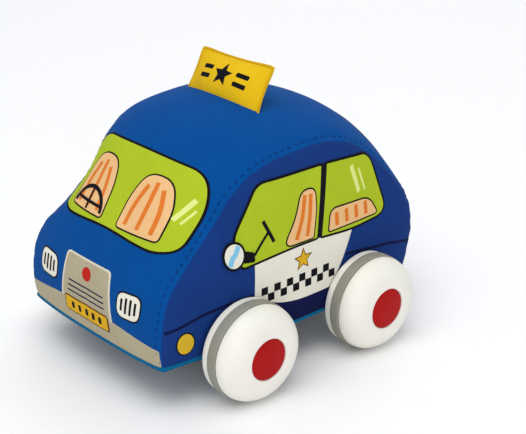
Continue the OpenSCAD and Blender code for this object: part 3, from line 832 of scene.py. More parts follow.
class Panel(Enum):
    """Cloth panels that carry prints."""

    WRAP = "wrap"
    LEFT = "left"
    RIGHT = "right"


# Finds a print's point on the cloth and the direction out of it, from its panel and its place in metres
Placing = Callable[[Panel, float, float], tuple[Vector, Vector]]


@dataclass
class StuffedBody:
    """The sewn and stuffed body: wrap panel, two sides, hem tape and cloth floor."""

    form: ClothForm = field(default_factory=ClothForm)
    settling: Settling = Settling(pressure=6.0, most_move=0.9 * MM)
    front_corner: float = 6.5
    back_corner: float = 10.5
    side_rows: int = 36
    side_cols: int = 44
    wrap_cols: int = 44
    relax_steps: int = 80
    seam_depth: float = 0.3 * MM
    seam_reach: float = 0.55 * MM
    pucker_depth: float = 0.24 * MM
    pucker_reach: float = 2.6 * MM
    pucker_pitch: float = 5.6 * MM
    # Even part, main wave and slower wave of the puckers' depth, and the slower one's rate
    pucker_shares: tuple[float, float, float] = (0.5, 0.3, 0.2)
    slow_rate: float = 0.63
    cloth_thickness: float = 1.2 * MM
    cover_fill: float = 0.85
    hem_steps: int = 90
    end_steps: int = 40
    tape_radius: float = 1.0 * MM
    tape_drop: float = 0.4 * MM
    notch_radius: float = 3.9 * MM
    notch_sides: int = 48
    notch_steps: int = 14
    floor_sag: float = 0.9 * MM
    sag_end: float = 0.8
    floor_lap: float = 1.5 * MM
    floor_rows: int = 8
    floor_fill: float = 0.4
    surface: BVHTree = field(init=False)
    # By side, 1 for the left and 0 for the wrap: name of the panel, slot, finish and solids it stands for
    PANELS: ClassVar[dict[int, tuple[str, str, Finish, tuple[str, ...]]]] = {
        -1: ("right_side_cover", "cover_side", SIDE_INDIGO_AND_SHADE, ("right_side_panel",)),
        1: ("left_side_cover", "cover_side", SIDE_INDIGO_AND_SHADE, ("left_side_panel",)),
        0: ("wrap_cover", "cover_blue", COVER_BLUE, ("top_panel", "body_filling")),
    }

    def build(self) -> None:
        """Makes and dresses every piece of the body."""
        cover = self.sew_panels()
        self.surface = surface_of(cover)
        self.split_panels(cover)
        self.bind_hem()
        self.lay_floor()

    def row_spans(self) -> list[float]:
        """Spaces the rows along the wrap panel, closer near its corners.

        Returns:
            Their places, in spans.
        """
        form = self.form
        marks = (0, self.front_corner, self.back_corner, form.spans)
        rows: list[float] = []
        for low, high, n in zip(marks, marks[1:], (self.side_rows, self.side_cols, self.side_rows)):
            a, b = form.length_at(low), form.length_at(high)
            rows += [form.span_at(a + (b - a) * t) for t in even_warp(n)[:-1]]
        return rows + [float(form.spans)]

    def sew_panels(self) -> bpy.types.Object:
        """Makes the cover as one sewn skin, lets it settle and presses in the seams.

        Returns:
            The cover, with one empty material slot for each panel.
        """
        points, faces, panels = self.panel_grid()
        cover = mesh_object("sewn_cover", points, faces)
        for _ in self.PANELS:
            cover.data.materials.append(None)
        for polygon, panel in zip(cover.data.polygons, panels):
            polygon.material_index = panel
        face_outwards(cover)
        seams = self.seam_tree()
        sewn = [
            v.index for v in cover.data.vertices
            if seams.find(v.co)[2] < SAME_POINT or v.co.z < self.form.hem + SAME_POINT
        ]
        self.settling.run(cover, sewn)
        modify(cover, "SUBSURF", levels=1, render_levels=1)
        self.press_seams(cover, seams)
        return cover

    def panel_grid(self) -> tuple[list[Vector], list[tuple[int, ...]], list[int]]:
        """Lays out the cover's quads.

        Returns:
            Vertices, faces, and the panel number of each face: 0 wrap, 1 left, 2 right.
        """
        form = self.form
        rows = self.row_spans()
        across = [2 * t - 1 for t in even_warp(self.wrap_cols)]
        points = [form.wrap(s, v) for s in rows for v in across]
        cols = len(across)
        faces = grid_faces(len(rows), cols)
        panels = [0] * len(faces)
        for panel, side, seam_col in ((1, 1, cols - 1), (2, -1, 0)):
            grid = self.side_grid(points, rows, side, seam_col, cols)
            for i in range(self.side_cols):
                for j in range(self.side_rows):
                    faces.append((grid[i][j], grid[i + 1][j], grid[i + 1][j + 1], grid[i][j + 1]))
                    panels.append(panel)
        return points, faces, panels

    def side_grid(
        self, points: list[Vector], rows: list[float], side: int, seam_col: int, cols: int
    ) -> list[list[int]]:
        """Fills one side panel between its seam and its hem.

        Args:
            points: Vertices so far; new ones are added.
            rows: Places of the wrap panel's rows.
            side: 1 for the left side, -1 for the right.
            seam_col: Column of the wrap panel that is sewn to this side.
            cols: Columns of the wrap panel.

        Returns:
            Vertex numbers, by column from front to back and by row from hem to roof.
        """
        form = self.form
        n, m = self.side_cols, self.side_rows
        ks, ts = even_warp(n), even_warp(m)
        front = [form.seam(rows[j]) for j in range(m + 1)]
        back = [form.seam(rows[-1 - j]) for j in range(m + 1)]
        top = [form.seam(rows[m + i]) for i in range(n + 1)]
        hem = [form.hem_point(1 - k) for k in ks]
        spots = []
        for i, k in enumerate(ks):
            corners = [front[0].lerp(back[0], k).lerp(front[m].lerp(back[m], k), t) for t in ts]
            spots.append([
                hem[i].lerp(top[i], t) + front[j].lerp(back[j], k) - corners[j] for j, t in enumerate(ts)])
        for _ in range(self.relax_steps):
            for i in range(1, n):
                for j in range(1, m):
                    spots[i][j] = (spots[i - 1][j] + spots[i + 1][j] + spots[i][j - 1] + spots[i][j + 1]) / 4
        grid: list[list[int]] = []
        for i in range(n + 1):
            column = []
            for j in range(m + 1):
                if i == 0:
                    column.append(j * cols + seam_col)
                elif i == n:
                    column.append((len(rows) - 1 - j) * cols + seam_col)
                elif j == m:
                    column.append((m + i) * cols + seam_col)
                else:
                    x, y, z = spots[i][j]
                    column.append(len(points))
                    points.append(Vector((x, side * (form.side_y(x, z) if j else y), z)))
            grid.append(column)
        return grid

    def seam_tree(self) -> KDTree:
        """Makes a search tree of points along both seams.

        Returns:
            The tree, in which an even number is a point on the left.
        """
        places, _ = self.form.seam_run
        points = []
        for point in map(self.form.seam, places):
            points += [point, Vector((point.x, -point.y, point.z))]
        return point_tree(points)

    def press_seams(self, cover: bpy.types.Object, seams: KDTree) -> None:
        """Presses a narrow groove along both seams, with the puckers that the thread draws beside it.

        Args:
            cover: The sewn cover.
            seams: Points along the seams.
        """
        _, lengths = self.form.seam_run
        normals = [n.vector.copy() for n in cover.data.vertex_normals]
        even, main, slow = self.pucker_shares
        for vertex, normal in zip(cover.data.vertices, normals):
            _, index, away = seams.find(vertex.co)
            turn = 2 * math.pi * lengths[index // 2] / self.pucker_pitch
            wave = even + main * math.cos(turn) + slow * math.cos(self.slow_rate * turn + index % 2)
            groove = self.seam_depth * math.exp(-(away / self.seam_reach) ** 2)
            pucker = self.pucker_depth * wave * math.exp(-(away / self.pucker_reach) ** 2)
            vertex.co -= normal * (groove + pucker)

    def split_panels(self, cover: bpy.types.Object) -> None:
        """Parts the sewn skin into its three panels and gives each its thickness.

        Args:
            cover: The sewn cover; one of its panels stays in it.
        """
        before = set(bpy.data.objects)
        with whole_mesh_in_edit(cover):
            bpy.ops.mesh.separate(type="MATERIAL")
        by_side = {}
        for panel in (cover, *(obj for obj in bpy.data.objects if obj not in before)):
            middle = sum(v.co.y for v in panel.data.vertices) / len(panel.data.vertices)
            side = 0 if abs(middle) < self.form.width / 4 else int(math.copysign(1, middle))
            by_side[side] = panel
        for side, (name, slot, finish, stands_for) in self.PANELS.items():
            panel = by_side[side]
            panel.name = panel.data.name = name
            panel.data.materials.clear()
            modify(panel, "SOLIDIFY", thickness=self.cloth_thickness, offset=-1)
            if side:
                self.cut_notches(panel)
            shade_smooth(panel)
            dress(panel, finish, stands_for=stands_for)

    def axle_places(self) -> list[tuple[float, float]]:
        """Gives x and z of the two axles."""
        middles = [(low + high) / 2 for low, high in (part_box("front_axle"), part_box("rear_axle"))]
        return [(middle.x, middle.z) for middle in middles]

    def cut_notches(self, panel: bpy.types.Object) -> None:
        """Cuts the round notches in a side's hem that let the axle tubes through.

        Args:
            panel: The side panel, with its thickness.
        """
        for x, z in self.axle_places():
            bpy.ops.object.select_all(action="DESELECT")
            bpy.ops.mesh.primitive_cylinder_add(
                vertices=self.notch_sides, radius=self.notch_radius, depth=2 * self.form.width,
                location=(x, 0, z), rotation=(math.pi / 2, 0, 0))
            cutter = bpy.context.object
            modify(panel, "BOOLEAN", operation="DIFFERENCE", object=cutter)
            bpy.data.objects.remove(cutter)

    def hem_loop(self, notched: bool) -> list[Vector]:
        """Points round the whole hem, from the front left corner along the left side.

        Args:
            notched: True if the line climbs over the axle notches.

        Returns:
            The closed line's points.
        """
        form = self.form
        left = [form.hem_point(1 - i / self.hem_steps) for i in range(self.hem_steps + 1)]
        if notched:
            left = self.over_notches(left)
        ends = self.end_steps
        back = [form.wrap(form.spans, 1 - 2 * i / ends) for i in range(1, ends)]
        front = [form.wrap(0, 2 * i / ends - 1) for i in range(1, ends)]
        right = [Vector((p.x, -p.y, p.z)) for p in reversed(left)]
        return left + back + right + front

    def over_notches(self, line: list[Vector]) -> list[Vector]:
        """Leads a line along the left hem over the axle notches.

        Args:
            line: Points from front to back.

        Returns:
            The points, with an arch over each axle.
        """
        steps = self.notch_steps
        led = list(line)
        for x, z in self.axle_places():
            low = math.asin(max(min((self.form.hem - z) / self.notch_radius, 1), -1))
            arch = []
            for i in range(steps + 1):
                angle = low + (math.pi - 2 * low) * i / steps
                px = x + self.notch_radius * math.cos(angle)
                pz = z + self.notch_radius * math.sin(angle)
                arch.append(Vector((px, self.form.side_y(px, pz), pz)))
            first = next(i for i, p in enumerate(led) if p.x < arch[0].x)
            after = next(i for i, p in enumerate(led) if p.x < arch[-1].x)
            led[first:after] = arch
        return led

    def bind_hem(self) -> None:
        """Makes the folded tape that binds the hem."""
        line = []
        for place in self.hem_loop(notched=True):
            inward = Vector((-place.x, -place.y, 0)).normalized()
            line.append(place + inward * self.cloth_thickness / 2 - Vector((0, 0, self.tape_drop)))
        tape = tube_along("hem_tape", line, self.tape_radius, closed=True)
        dress(tape, HEM_TEAL)

    def lay_floor(self) -> None:
        """Makes the cloth floor between the hem and the chassis tray, a little slack."""
        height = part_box("base_panel")[0].z
        low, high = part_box("chassis_tray")
        middle = (low + high) / 2
        half = (high - low) / 2 - Vector((self.floor_lap, self.floor_lap, 0))
        outer = self.hem_loop(notched=False)
        points = []
        for t in (i / self.floor_rows for i in range(self.floor_rows + 1)):
            for edge in outer:
                away = Vector((edge.x - middle.x, edge.y - middle.y))
                reach = max(abs(away.x) / half.x, abs(away.y) / half.y)
                x = edge.x + (middle.x + away.x / reach - edge.x) * t
                y = edge.y + (middle.y + away.y / reach - edge.y) * t
                points.append((x, y, height - self.floor_sag * math.sin(math.pi * min(t / self.sag_end, 1))))
        floor = mesh_object("floor_cloth", points, grid_faces(self.floor_rows + 1, len(outer), closed=True))
        face_outwards(floor)
        if floor.data.polygons[0].normal.z > 0:
            floor.data.flip_normals()
        modify(floor, "SOLIDIFY", thickness=self.cloth_thickness, offset=-1)
        shade_smooth(floor)
        dress(floor, HEM_TEAL, stands_for=("base_panel",))

    def place_print(self, panel: Panel, across: float, along: float) -> tuple[Vector, Vector]:
        """Finds a print's place on the cloth.

        Args:
            panel: Panel that carries the print.
            across: Metres across the wrap panel, or forwards on a side.
            along: Metres of cloth from the front hem on the wrap panel, or above the floor on a side.

        Returns:
            The point on the cloth and the direction out of it.
        """
        if panel is Panel.WRAP:
            s = self.form.span_at(along)
            spot = self.form.wrap(s, across / self.form.seam(s).y)
            point, normal, _, _ = self.surface.find_nearest(spot)
            return point, normal
        side = 1 if panel is Panel.LEFT else -1
        start = Vector((across, side * self.form.width, along))
        point, normal, _, _ = self.surface.ray_cast(start, Vector((0, -side, 0)))
        return point, normal


@dataclass
class SeamStitches:
    """Rows of thread that hold the seams down, beside each seam on the wrap panel."""

    body: StuffedBody
    pitch: float = 3.0 * MM
    length: float = 1.9 * MM
    radius: float = 0.2 * MM
    beside: float = 1.7 * MM
    sunk: float = 0.05 * MM
    ends: float = 5.0 * MM
    sides: int = 8
    rings: int = 6
    crease: float = 60.0

    def build(self) -> None:
        """Makes both rows."""
        for side, name in ((1, "left_stitches"), (-1, "right_stitches")):
            self.row(name, side)

    def row(self, name: str, side: int) -> None:
        """Copies one stitch along a seam.

        Args:
            name: Name of the row.
            side: 1 for the left seam, -1 for the right.
        """
        bpy.ops.object.select_all(action="DESELECT")
        bpy.ops.mesh.primitive_uv_sphere_add(
            segments=self.sides, ring_count=self.rings, radius=self.radius)
        stitch = bpy.context.object
        places, lengths = self.body.form.seam_run
        points, faces = [], []
        along = self.ends
        while along < lengths[-1] - self.ends:
            start, end = (
                self.spot(places[bisect_left(lengths, along + d)], side) for d in (0, self.length))
            middle = (start + end) / 2
            turn = (end - start).to_track_quat("X", "Z").to_matrix().to_4x4()
            stretch = Matrix.Diagonal(((end - start).length / (2 * self.radius), 1, 1, 1))
            copy = Matrix.Translation(middle) @ turn @ stretch
            first = len(points)
            points += [copy @ v.co for v in stitch.data.vertices]
            faces += [tuple(first + i for i in p.vertices) for p in stitch.data.polygons]
            along += self.pitch
        bpy.data.objects.remove(stitch)
        row = mesh_object(name, points, faces)
        face_outwards(row)
        shade_smooth(row, self.crease)
        dress(row, THREAD_NAVY)

    def spot(self, s: float, side: int) -> Vector:
        """Finds a point of the thread on the cloth.

        Args:
            s: Place along the seam, in spans.
            side: 1 for the left seam, -1 for the right.

        Returns:
            The point, a little sunk into the cloth.
        """
        edge = self.body.form.seam(s).y
        point, normal, _, _ = self.body.surface.find_nearest(
            self.body.form.wrap(s, side * (1 - self.beside / edge)))
        return point - normal * self.sunk


# Outlines of prints, in millimetres on the flat cloth

def rounded(corners: Corners, steps: int = 6) -> Outline:
    """Closed outline with rounded corners.

    Args:
        corners: x, y and reach of the rounding of each corner, in order.
        steps: Points of each rounding.

    Returns:
        The outline.
    """
    outline: Outline = []
    for i, (x, y, reach) in enumerate(corners):
        here = Vector((x, y))
        ends = [Vector(corners[i - 1][:2]), Vector(corners[(i + 1) % len(corners)][:2])]
        a, b = [here + (end - here).normalized() * min(reach, (end - here).length / 2) for end in ends]
        for k in range(steps + 1):
            u = k / steps
            point = a * (1 - u) ** 2 + here * (2 * u * (1 - u)) + b * u * u
            outline.append((point.x, point.y))
    return outline


def even_sided(half: Corners, x: float = 0.0) -> Outline:
    """Rounded outline that is alike on both sides of an upright line.

    Args:
        half: Corners of its right half in order, with x measured from the line.
        x: Place of the line.

    Returns:
        The outline.
    """
    right = [(x + dx, y, reach) for dx, y, reach in half]
    left = [(x - dx, y, reach) if dx else None for dx, y, reach in half]
    return rounded([corner for corner in (left[0], *right, *reversed(left[1:])) if corner])


def ellipse(x: float, y: float, rx: float, ry: float, turn: float = 0.0, steps: int = 40) -> Outline:
    """Closed ellipse about a point.

    Args:
        x: Place of its middle across the print.
        y: Place of its middle up the print.
        rx: Half its width.
        ry: Half its height.
        turn: Turn to the left, in degrees.
        steps: Points of the outline.

    Returns:
        The outline.
    """
    c, s = math.cos(math.radians(turn)), math.sin(math.radians(turn))
    angles = [2 * math.pi * i / steps for i in range(steps)]
    ring = [(rx * math.cos(a), ry * math.sin(a)) for a in angles]
    return [(x + c * px - s * py, y + s * px + c * py) for px, py in ring]


def arc_points(x: float, y: float, radius: float, start: float, end: float, steps: int) -> list[Point2]:
    """Points of an arc about a point, between two angles in degrees."""
    angles = [math.radians(start + (end - start) * i / steps) for i in range(steps + 1)]
    return [(x + radius * math.cos(a), y + radius * math.sin(a)) for a in angles]


def arc_band(
    x: float, y: float, radius: float, width: float, start: float, end: float, steps: int = 24
) -> Outline:
    """Part of a ring about a point, between two angles in degrees."""
    outer, inner = (arc_points(x, y, radius + out, start, end, steps) for out in (width / 2, -width / 2))
    return outer + inner[::-1]


def star(x: float, y: float, radius: float, inner_share: float = 0.45, points: int = 5) -> Outline:
    """Plain star with one point up.

    Args:
        x: Place of its middle across the print.
        y: Place of its middle up the print.
        radius: Reach of its points.
        inner_share: Share of the radius at its inner corners.
        points: Number of points.

    Returns:
        The outline.
    """
    outline = []
    for i in range(2 * points):
        reach = radius if i % 2 == 0 else radius * inner_share
        angle = math.pi / 2 + math.pi * i / points
        outline.append((x + reach * math.cos(angle), y + reach * math.sin(angle)))
    return outline


def stroke(points: Sequence[Point2], width: float, steps: int = 5) -> Outline:
    """Band of even width along a smooth line.

    Args:
        points: Points that the line goes through.
        width: Width of the band.
        steps: Steps from one point to the next, where there are more than two.

    Returns:
        The outline.
    """
    spans = len(points) - 1
    line = [curve_through(points, i / steps) for i in range(spans * steps + 1)] if spans > 1 else points
    left, right = [], []
    for i, (x, y) in enumerate(line):
        before, after = line[max(i - 1, 0)], line[min(i + 1, len(line) - 1)]
        way = Vector((after[0] - before[0], after[1] - before[1])).normalized() * (width / 2)
        left.append((x - way.y, y + way.x))
        right.append((x + way.y, y - way.x))
    return right + left[::-1]


def box(x0: float, y0: float, x1: float, y1: float, reach: float = 0.0) -> Outline:
    """Upright box with rounded corners."""
    return rounded([(x0, y0, reach), (x1, y0, reach), (x1, y1, reach), (x0, y1, reach)])


def grown(outline: Outline, by: float) -> Outline:
    """Moves an outline outwards.

    Args:
        outline: The outline.
        by: How far; less than 0 moves it inwards.

    Returns:
        The moved outline.
    """
    area = sum(a[0] * b[1] - b[0] * a[1] for a, b in zip(outline, outline[1:] + outline[:1]))
    turn = 1 if area > 0 else -1
    moved = []
    for i, point in enumerate(outline):
        before, after = Vector(outline[i - 1]), Vector(outline[(i + 1) % len(outline)])
        way = (after - before).normalized()
        moved.append((point[0] + turn * way.y * by, point[1] - turn * way.x * by))
    return moved


def stepped(outline: Outline, step: float) -> Outline:
    """Adds points to an outline.

    Args:
        outline: The outline.
        step: Largest distance between its points.

    Returns:
        The finer outline.
    """
    points: Outline = []
    for (x0, y0), (x1, y1) in zip(outline, outline[1:] + outline[:1]):
        n = max(1, math.ceil(math.hypot(x1 - x0, y1 - y0) / step))
        points += [(x0 + (x1 - x0) * i / n, y0 + (y1 - y0) * i / n) for i in range(n)]
    return points


@dataclass
class PrintSheet:
    """One print on a panel: a stack of flat inks, each a thin skin on the cloth."""

    name: str
    panel: Panel
    slot: str
    inks: list[tuple[Outline, Finish, int]] = field(default_factory=list)
    first_lift: float = 0.09 * MM
    lift: float = 0.06 * MM
    thickness: float = 0.3 * MM
    step: float = 1.3
    crease: float = 60.0
    # The flat mesh keeps only what lies inside the outline, and merges points closer than this
    INSIDE_ONLY: ClassVar[int] = 1
    MERGE: ClassVar[float] = 1e-4

    def add(self, finish: Finish, layer: int, *outlines: Outline) -> None:
        """Adds shapes of one ink.

        Args:
            finish: The ink.
            layer: 0 for the lowest ink; higher ones lie over it.
            outlines: Shapes in millimetres.
        """
        self.inks += [(outline, finish, layer) for outline in outlines]

    def framed(self, outline: Outline, finish: Finish, line: float, layer: int = 0) -> None:
        """Adds a shape with a black line round it."""
        self.add(INK_BLACK, layer, grown(outline, line))
        self.add(finish, layer + 1, outline)

    def build(self, place: Placing) -> None:
        """Makes the print as one object.

        Args:
            place: Finds the point on the cloth and the direction out of it.
        """
        patches = [self.patch(outline, finish, layer, place) for outline, finish, layer in self.inks]
        pick_only(*patches)
        if len(patches) > 1:
            bpy.ops.object.join()
        sheet = bpy.context.view_layer.objects.active
        sheet.name = sheet.data.name = self.name
        modify(sheet, "SOLIDIFY", thickness=self.thickness, offset=-1)
        shade_smooth(sheet, self.crease)
        dress(sheet)

    def patch(self, outline: Outline, finish: Finish, layer: int, place: Placing) -> bpy.types.Object:
        """Lays one flat shape on the cloth.

        Args:
            outline: Shape in millimetres.
            finish: Its ink.
            layer: Its place in the stack of inks.
            place: Finds the point on the cloth and the direction out of it.

        Returns:
            The shape as a skin without thickness.
        """
        edge = stepped(outline, self.step / 2)
        xs, ys = [p[0] for p in edge], [p[1] for p in edge]
        inside = [
            Vector((min(xs) + self.step * i, min(ys) + self.step * j))
            for i in range(int((max(xs) - min(xs)) / self.step) + 1)
            for j in range(int((max(ys) - min(ys)) / self.step) + 1)
        ]
        rim = [(i, (i + 1) % len(edge)) for i in range(len(edge))]
        flat, _, faces, *_ = delaunay_2d_cdt(
            [Vector(p) for p in edge] + inside, rim, [], self.INSIDE_ONLY, self.MERGE)
        spots = [place(self.panel, p.x * MM, p.y * MM) for p in flat]
        lift = self.first_lift + self.lift * layer
        obj = mesh_object("ink", [point + normal * lift for point, normal in spots], faces)
        with whole_mesh_in_edit(obj):
            bpy.ops.mesh.remove_doubles(threshold=SAME_POINT)
        out = sum((n for _, n in spots), Vector())
        if sum((p.normal * p.area for p in obj.data.polygons), Vector()).dot(out) < 0:
            obj.data.flip_normals()
        obj.data.materials.append(material_of(finish))
        return obj


@dataclass
class Livery:
    """All prints of the body, in millimetres on the flat cloth."""

    body: StuffedBody
    line: float = 0.9
    thin_line: float = 0.6
    stripe: float = 1.7
    headlamp_place: Point2 = (23.4, 18.6)
    tail_lamp_x: float = 25.0
    seat_x: float = 14.2
    star_place: Point2 = (-0.5, 41.1)
    checks_start: Point2 = (-16.1, 29.9)
    check: float = 2.9
    check_pairs: int = 6

    def build(self) -> None:
        """Makes every print."""
        sheets = [self.front(), self.windscreen(), self.rear()]
        for panel in (Panel.LEFT, Panel.RIGHT):
            sheets += [self.side_windows(panel), self.door(panel), self.side_trim(panel)]
        for sheet in sheets:
            sheet.build(self.body.place_print)

    def front(self) -> PrintSheet:
        """Draws bumper, grille, plate and lamps on the nose.

        Returns:
            The print.
        """
        sheet = PrintSheet("front_print", Panel.WRAP, "cover_blue")
        sheet.add(TRIM_BEIGE, 0, even_sided([(37.6, 0.4, 1), (37.6, 7.4, 1), (15.5, 10.4, 6)]))
        sheet.add(TRIM_PALE, 1, even_sided([(15.0, 10.0, 0.5), (12.7, 27.7, 2)]))
        sheet.add(TRIM_BEIGE, 2, even_sided([(14.0, 9.8, 0.5), (11.9, 27.0, 1.6)]))
        sheet.add(INK_NAVY, 3, *[
            stroke([(-half, along), (half, along)], 0.5)
            for half, along in ((10.2, 17.6), (10.5, 15.6), (10.8, 13.6))])
        sheet.add(LAMP_RED, 3, ellipse(0, 22.6, 2.5, 2.5))
        plate = box(-12.8, 5.0, 12.8, 11.4, 1.2)
        sheet.add(PLATE_BROWN, 4, plate)
        sheet.add(PLATE_GOLD, 5, grown(plate, -0.5))
        sheet.add(INK_BLACK, 6, *[box(x - 0.8, 6.9, x + 0.8, 9.5, 0.5) for x in (-8, -4, 0, 4, 8)])
        x, y = self.headlamp_place
        for side in (-1, 1):
            self.headlamp(sheet, side * x, y)
        return sheet

    def headlamp(self, sheet: PrintSheet, x: float, y: float) -> None:
        """Square lamp with a black rim and black flutes across a white lens.

        Args:
            sheet: Print that it is part of.
            x: Place of its middle across the panel.
            y: Place of its middle along the panel.
        """
        lens = box(x - 5.4, y - 4.2, x + 5.4, y + 4.2, 3.2)
        sheet.framed(lens, DOOR_WHITE, self.thin_line)
        sheet.add(INK_BLACK, 2, *[
            stroke([(x + dx, y - rise), (x + dx, y + rise)], 1.0)
            for dx, rise in ((-3.3, 2.1), (-1.1, 2.7), (1.1, 2.7), (3.3, 2.1))])

    def windscreen(self) -> PrintSheet:
        """Draws the windscreen, with two high-backed seats, a steering wheel and glare.

        Returns:
            The print.
        """
        sheet = PrintSheet("windscreen_print", Panel.WRAP, "cover_blue")
        glass = even_sided([
            (0, 41.0, 10), (25.0, 38.7, 4), (31.7, 41.6, 4), (31.9, 62.0, 8), (26.8, 69.9, 5), (0, 70.4, 12)])
        sheet.framed(glass, GLASS_GREEN, self.line)
        for x in (-self.seat_x, self.seat_x):
            seat = even_sided([(9.6, 42.2, 1.5), (9.0, 54.5, 4), (5.6, 63.6, 5)], x)
            sheet.framed(seat, SEAT_TAN, self.thin_line, 2)
            sheet.add(SEAT_ORANGE, 4, *[
                stroke([(x + 1.12 * dx, 43.8), (x + dx, 52.0), (x + 0.62 * dx, top)], self.stripe)
                for dx, top in ((-5.4, 59.6), (0, 61.4), (5.4, 59.6))])
        wheel_x = -self.seat_x
        sheet.add(
            INK_BLACK, 5, arc_band(wheel_x, 42.4, 8.4, 1.5, 6, 174),
            stroke([(wheel_x, 42.6), (wheel_x, 50.2)], 1.1), stroke([(-21.4, 45.4), (-7.0, 45.4)], 1.1))
        sheet.add(
            GLARE, 2, stroke([(24.6, 51.0), (28.6, 60.0)], 1.8), stroke([(27.4, 50.4), (30.0, 56.4)], 0.9))
        return sheet

    def rear(self) -> PrintSheet:
        """Draws the rear window, the tail lamps and the bumper.

        Returns:
            The print.
        """
        sheet = PrintSheet("rear_print", Panel.WRAP, "cover_blue")
        glass = even_sided([(0, 182.2, 14), (26, 180.2, 6), (28, 170, 6), (24.5, 155.8, 7), (0, 154.4, 14)])
        sheet.framed(glass, GLASS_GREEN, self.line)
        sheet.add(GLARE, 2, stroke([(13, 160), (18, 174)], 1.9), stroke([(16.4, 160), (21.4, 174)], 0.9))
        sheet.add(TRIM_BEIGE, 0, even_sided([(36.8, 220.2, 1), (36.8, 212.6, 1), (15, 210.4, 6)]))
        for x in (-self.tail_lamp_x, self.tail_lamp_x):
            sheet.framed(box(x - 5.6, 195.8, x + 5.6, 204.4, 2.4), LAMP_RED, self.thin_line)
            sheet.add(LAMP_AMBER, 2, box(x - 4.4, 201.0, x + 4.4, 203.3, 0.9))
        return sheet

    def side_windows(self, panel: Panel) -> PrintSheet:
        """Draws two panes with a black pillar between them, seats and glare.

        Args:
            panel: The side panel.

        Returns:
            The print.
        """
        sheet = PrintSheet(f"{panel.value}_window_print", panel, "cover_side")
        front = rounded([
            (-7.1, 47.4, 0.6), (3.5, 47.4, 4), (16.9, 46.4, 4), (26.5, 45.6, 1.6), (29.2, 55.1, 4),
            (18.5, 73.5, 3.4), (-9.9, 73.3, 0.6)])
        back = rounded([
            (-9.4, 47.2, 0.6), (-24.9, 45.9, 5), (-39.9, 46.8, 3), (-42.1, 49.6, 3), (-34.4, 71.2, 4),
            (-23.1, 72.4, 6), (-12.7, 73.2, 0.6)])
        for pane in (front, back):
            sheet.framed(pane, GLASS_GREEN, self.line, 2)
        sheet.add(INK_BLACK, 3, stroke([(-8.2, 46.9), (-11.3, 73.7)], 2.6))
        seat = rounded([
            (-5.2, 48.1, 0.6), (8.4, 48.1, 4), (2.6, 58.0, 3), (0.0, 66.6, 3.4), (-6.4, 66.2, 3),
            (-6.6, 58.0, 2)])
        sheet.framed(seat, SEAT_TAN, self.thin_line, 4)
        sheet.add(
            SEAT_ORANGE, 6, stroke([(-2.2, 49.4), (-3.6, 57.0), (-4.2, 64.6)], self.stripe),
            stroke([(2.8, 49.4), (0.0, 57.0), (-1.4, 64.8)], self.stripe))
        sheet.add(
            INK_BLACK, 4, stroke([(12.7, 51.6), (17.1, 60.2)], 1.3),
            stroke([(14.8, 56.0), (21.1, 48.8)], 1.0))
        bench = rounded([(-12.9, 48.0, 1), (-13.9, 56.0, 3), (-33.8, 55.0, 4), (-38.0, 48.0, 1.6)])
        sheet.framed(bench, SEAT_TAN, self.thin_line, 4)
        sheet.add(SEAT_ORANGE, 6, *[
            stroke([(x, 49.2), (x + 0.4, 54.2)], self.stripe) for x in (-17, -22, -27, -32)])
        sheet.add(
            GLARE, 4, stroke([(-28.5, 58.6), (-24.8, 69.4)], 1.8),
            stroke([(-31.6, 58.6), (-28.6, 67.4)], 0.9))
        return sheet

    def door(self, panel: Panel) -> PrintSheet:
        """Draws the white door, with a gold star, a band of checks and a dark sill.

        Args:
            panel: The side panel.

        Returns:
            The print.
        """
        sheet = PrintSheet(f"{panel.value}_door_print", panel, "cover_side")
        sheet.add(INK_NAVY, 0, rounded([
            (-16.4, 17.9, 0.5), (14.6, 17.9, 0.5), (21.4, 33.0, 2), (-18.4, 33.0, 2)]))
        sheet.add(DOOR_WHITE, 1, rounded([
            (-24.9, 45.7, 0.5), (-21.2, 36.9, 6), (-15.2, 26.0, 2.5), (0.4, 25.9, 5), (9.4, 27.2, 4),
            (21.7, 32.3, 0.8), (21.2, 46.3, 0.5), (3.5, 47.7, 4)]))
        side = self.check
        for row in range(2):
            for i in range(self.check_pairs):
                x = self.checks_start[0] + side * (2 * i + row)
                y = self.checks_start[1] + side * row
                sheet.add(INK_BLACK, 2, box(x, y, x + side, y + side))
        sheet.add(PLATE_BROWN, 2, star(*self.star_place, 4.5))
        sheet.add(PLATE_GOLD, 3, star(*self.star_place, 3.5))
        return sheet

    def side_trim(self, panel: Panel) -> PrintSheet:
        """Draws the mirror, the corner lamp and the line along the side.

        Args:
            panel: The side panel.

        Returns:
            The print.
        """
        sheet = PrintSheet(f"{panel.value}_trim_print", panel, "cover_side")
        sheet.add(
            INK_NAVY, 0,
            stroke([(58.8, 31.2), (52.5, 31.9), (44.6, 33.4), (37.2, 34.0), (30.9, 34.3), (22.2, 34.1)], 1.1),
            stroke([
                (-22.0, 36.2), (-25.9, 35.9), (-36.5, 34.3), (-44.0, 33.3), (-51, 31.8), (-58.6, 30.0)], 1.1))
        sheet.framed(ellipse(50.8, 25.0, 3.3, 3.9, -14), LAMP_AMBER, 0.5)
        sheet.add(INK_BLACK, 7, rounded([
            (25.9, 51.6, 0.6), (21.2, 50.0, 0.9), (21.2, 46.5, 0.9), (25.9, 47.2, 0.6)]))
        sheet.framed(ellipse(29.6, 50.7, 3.8, 4.2), DOOR_WHITE, 0.85, 8)
        sheet.add(LENS_BLUE, 10, stroke([(31.7, 47.6), (30.4, 50.1), (29.0, 51.3), (27.6, 53.9)], 1.9))
        return sheet


# The roof pillow

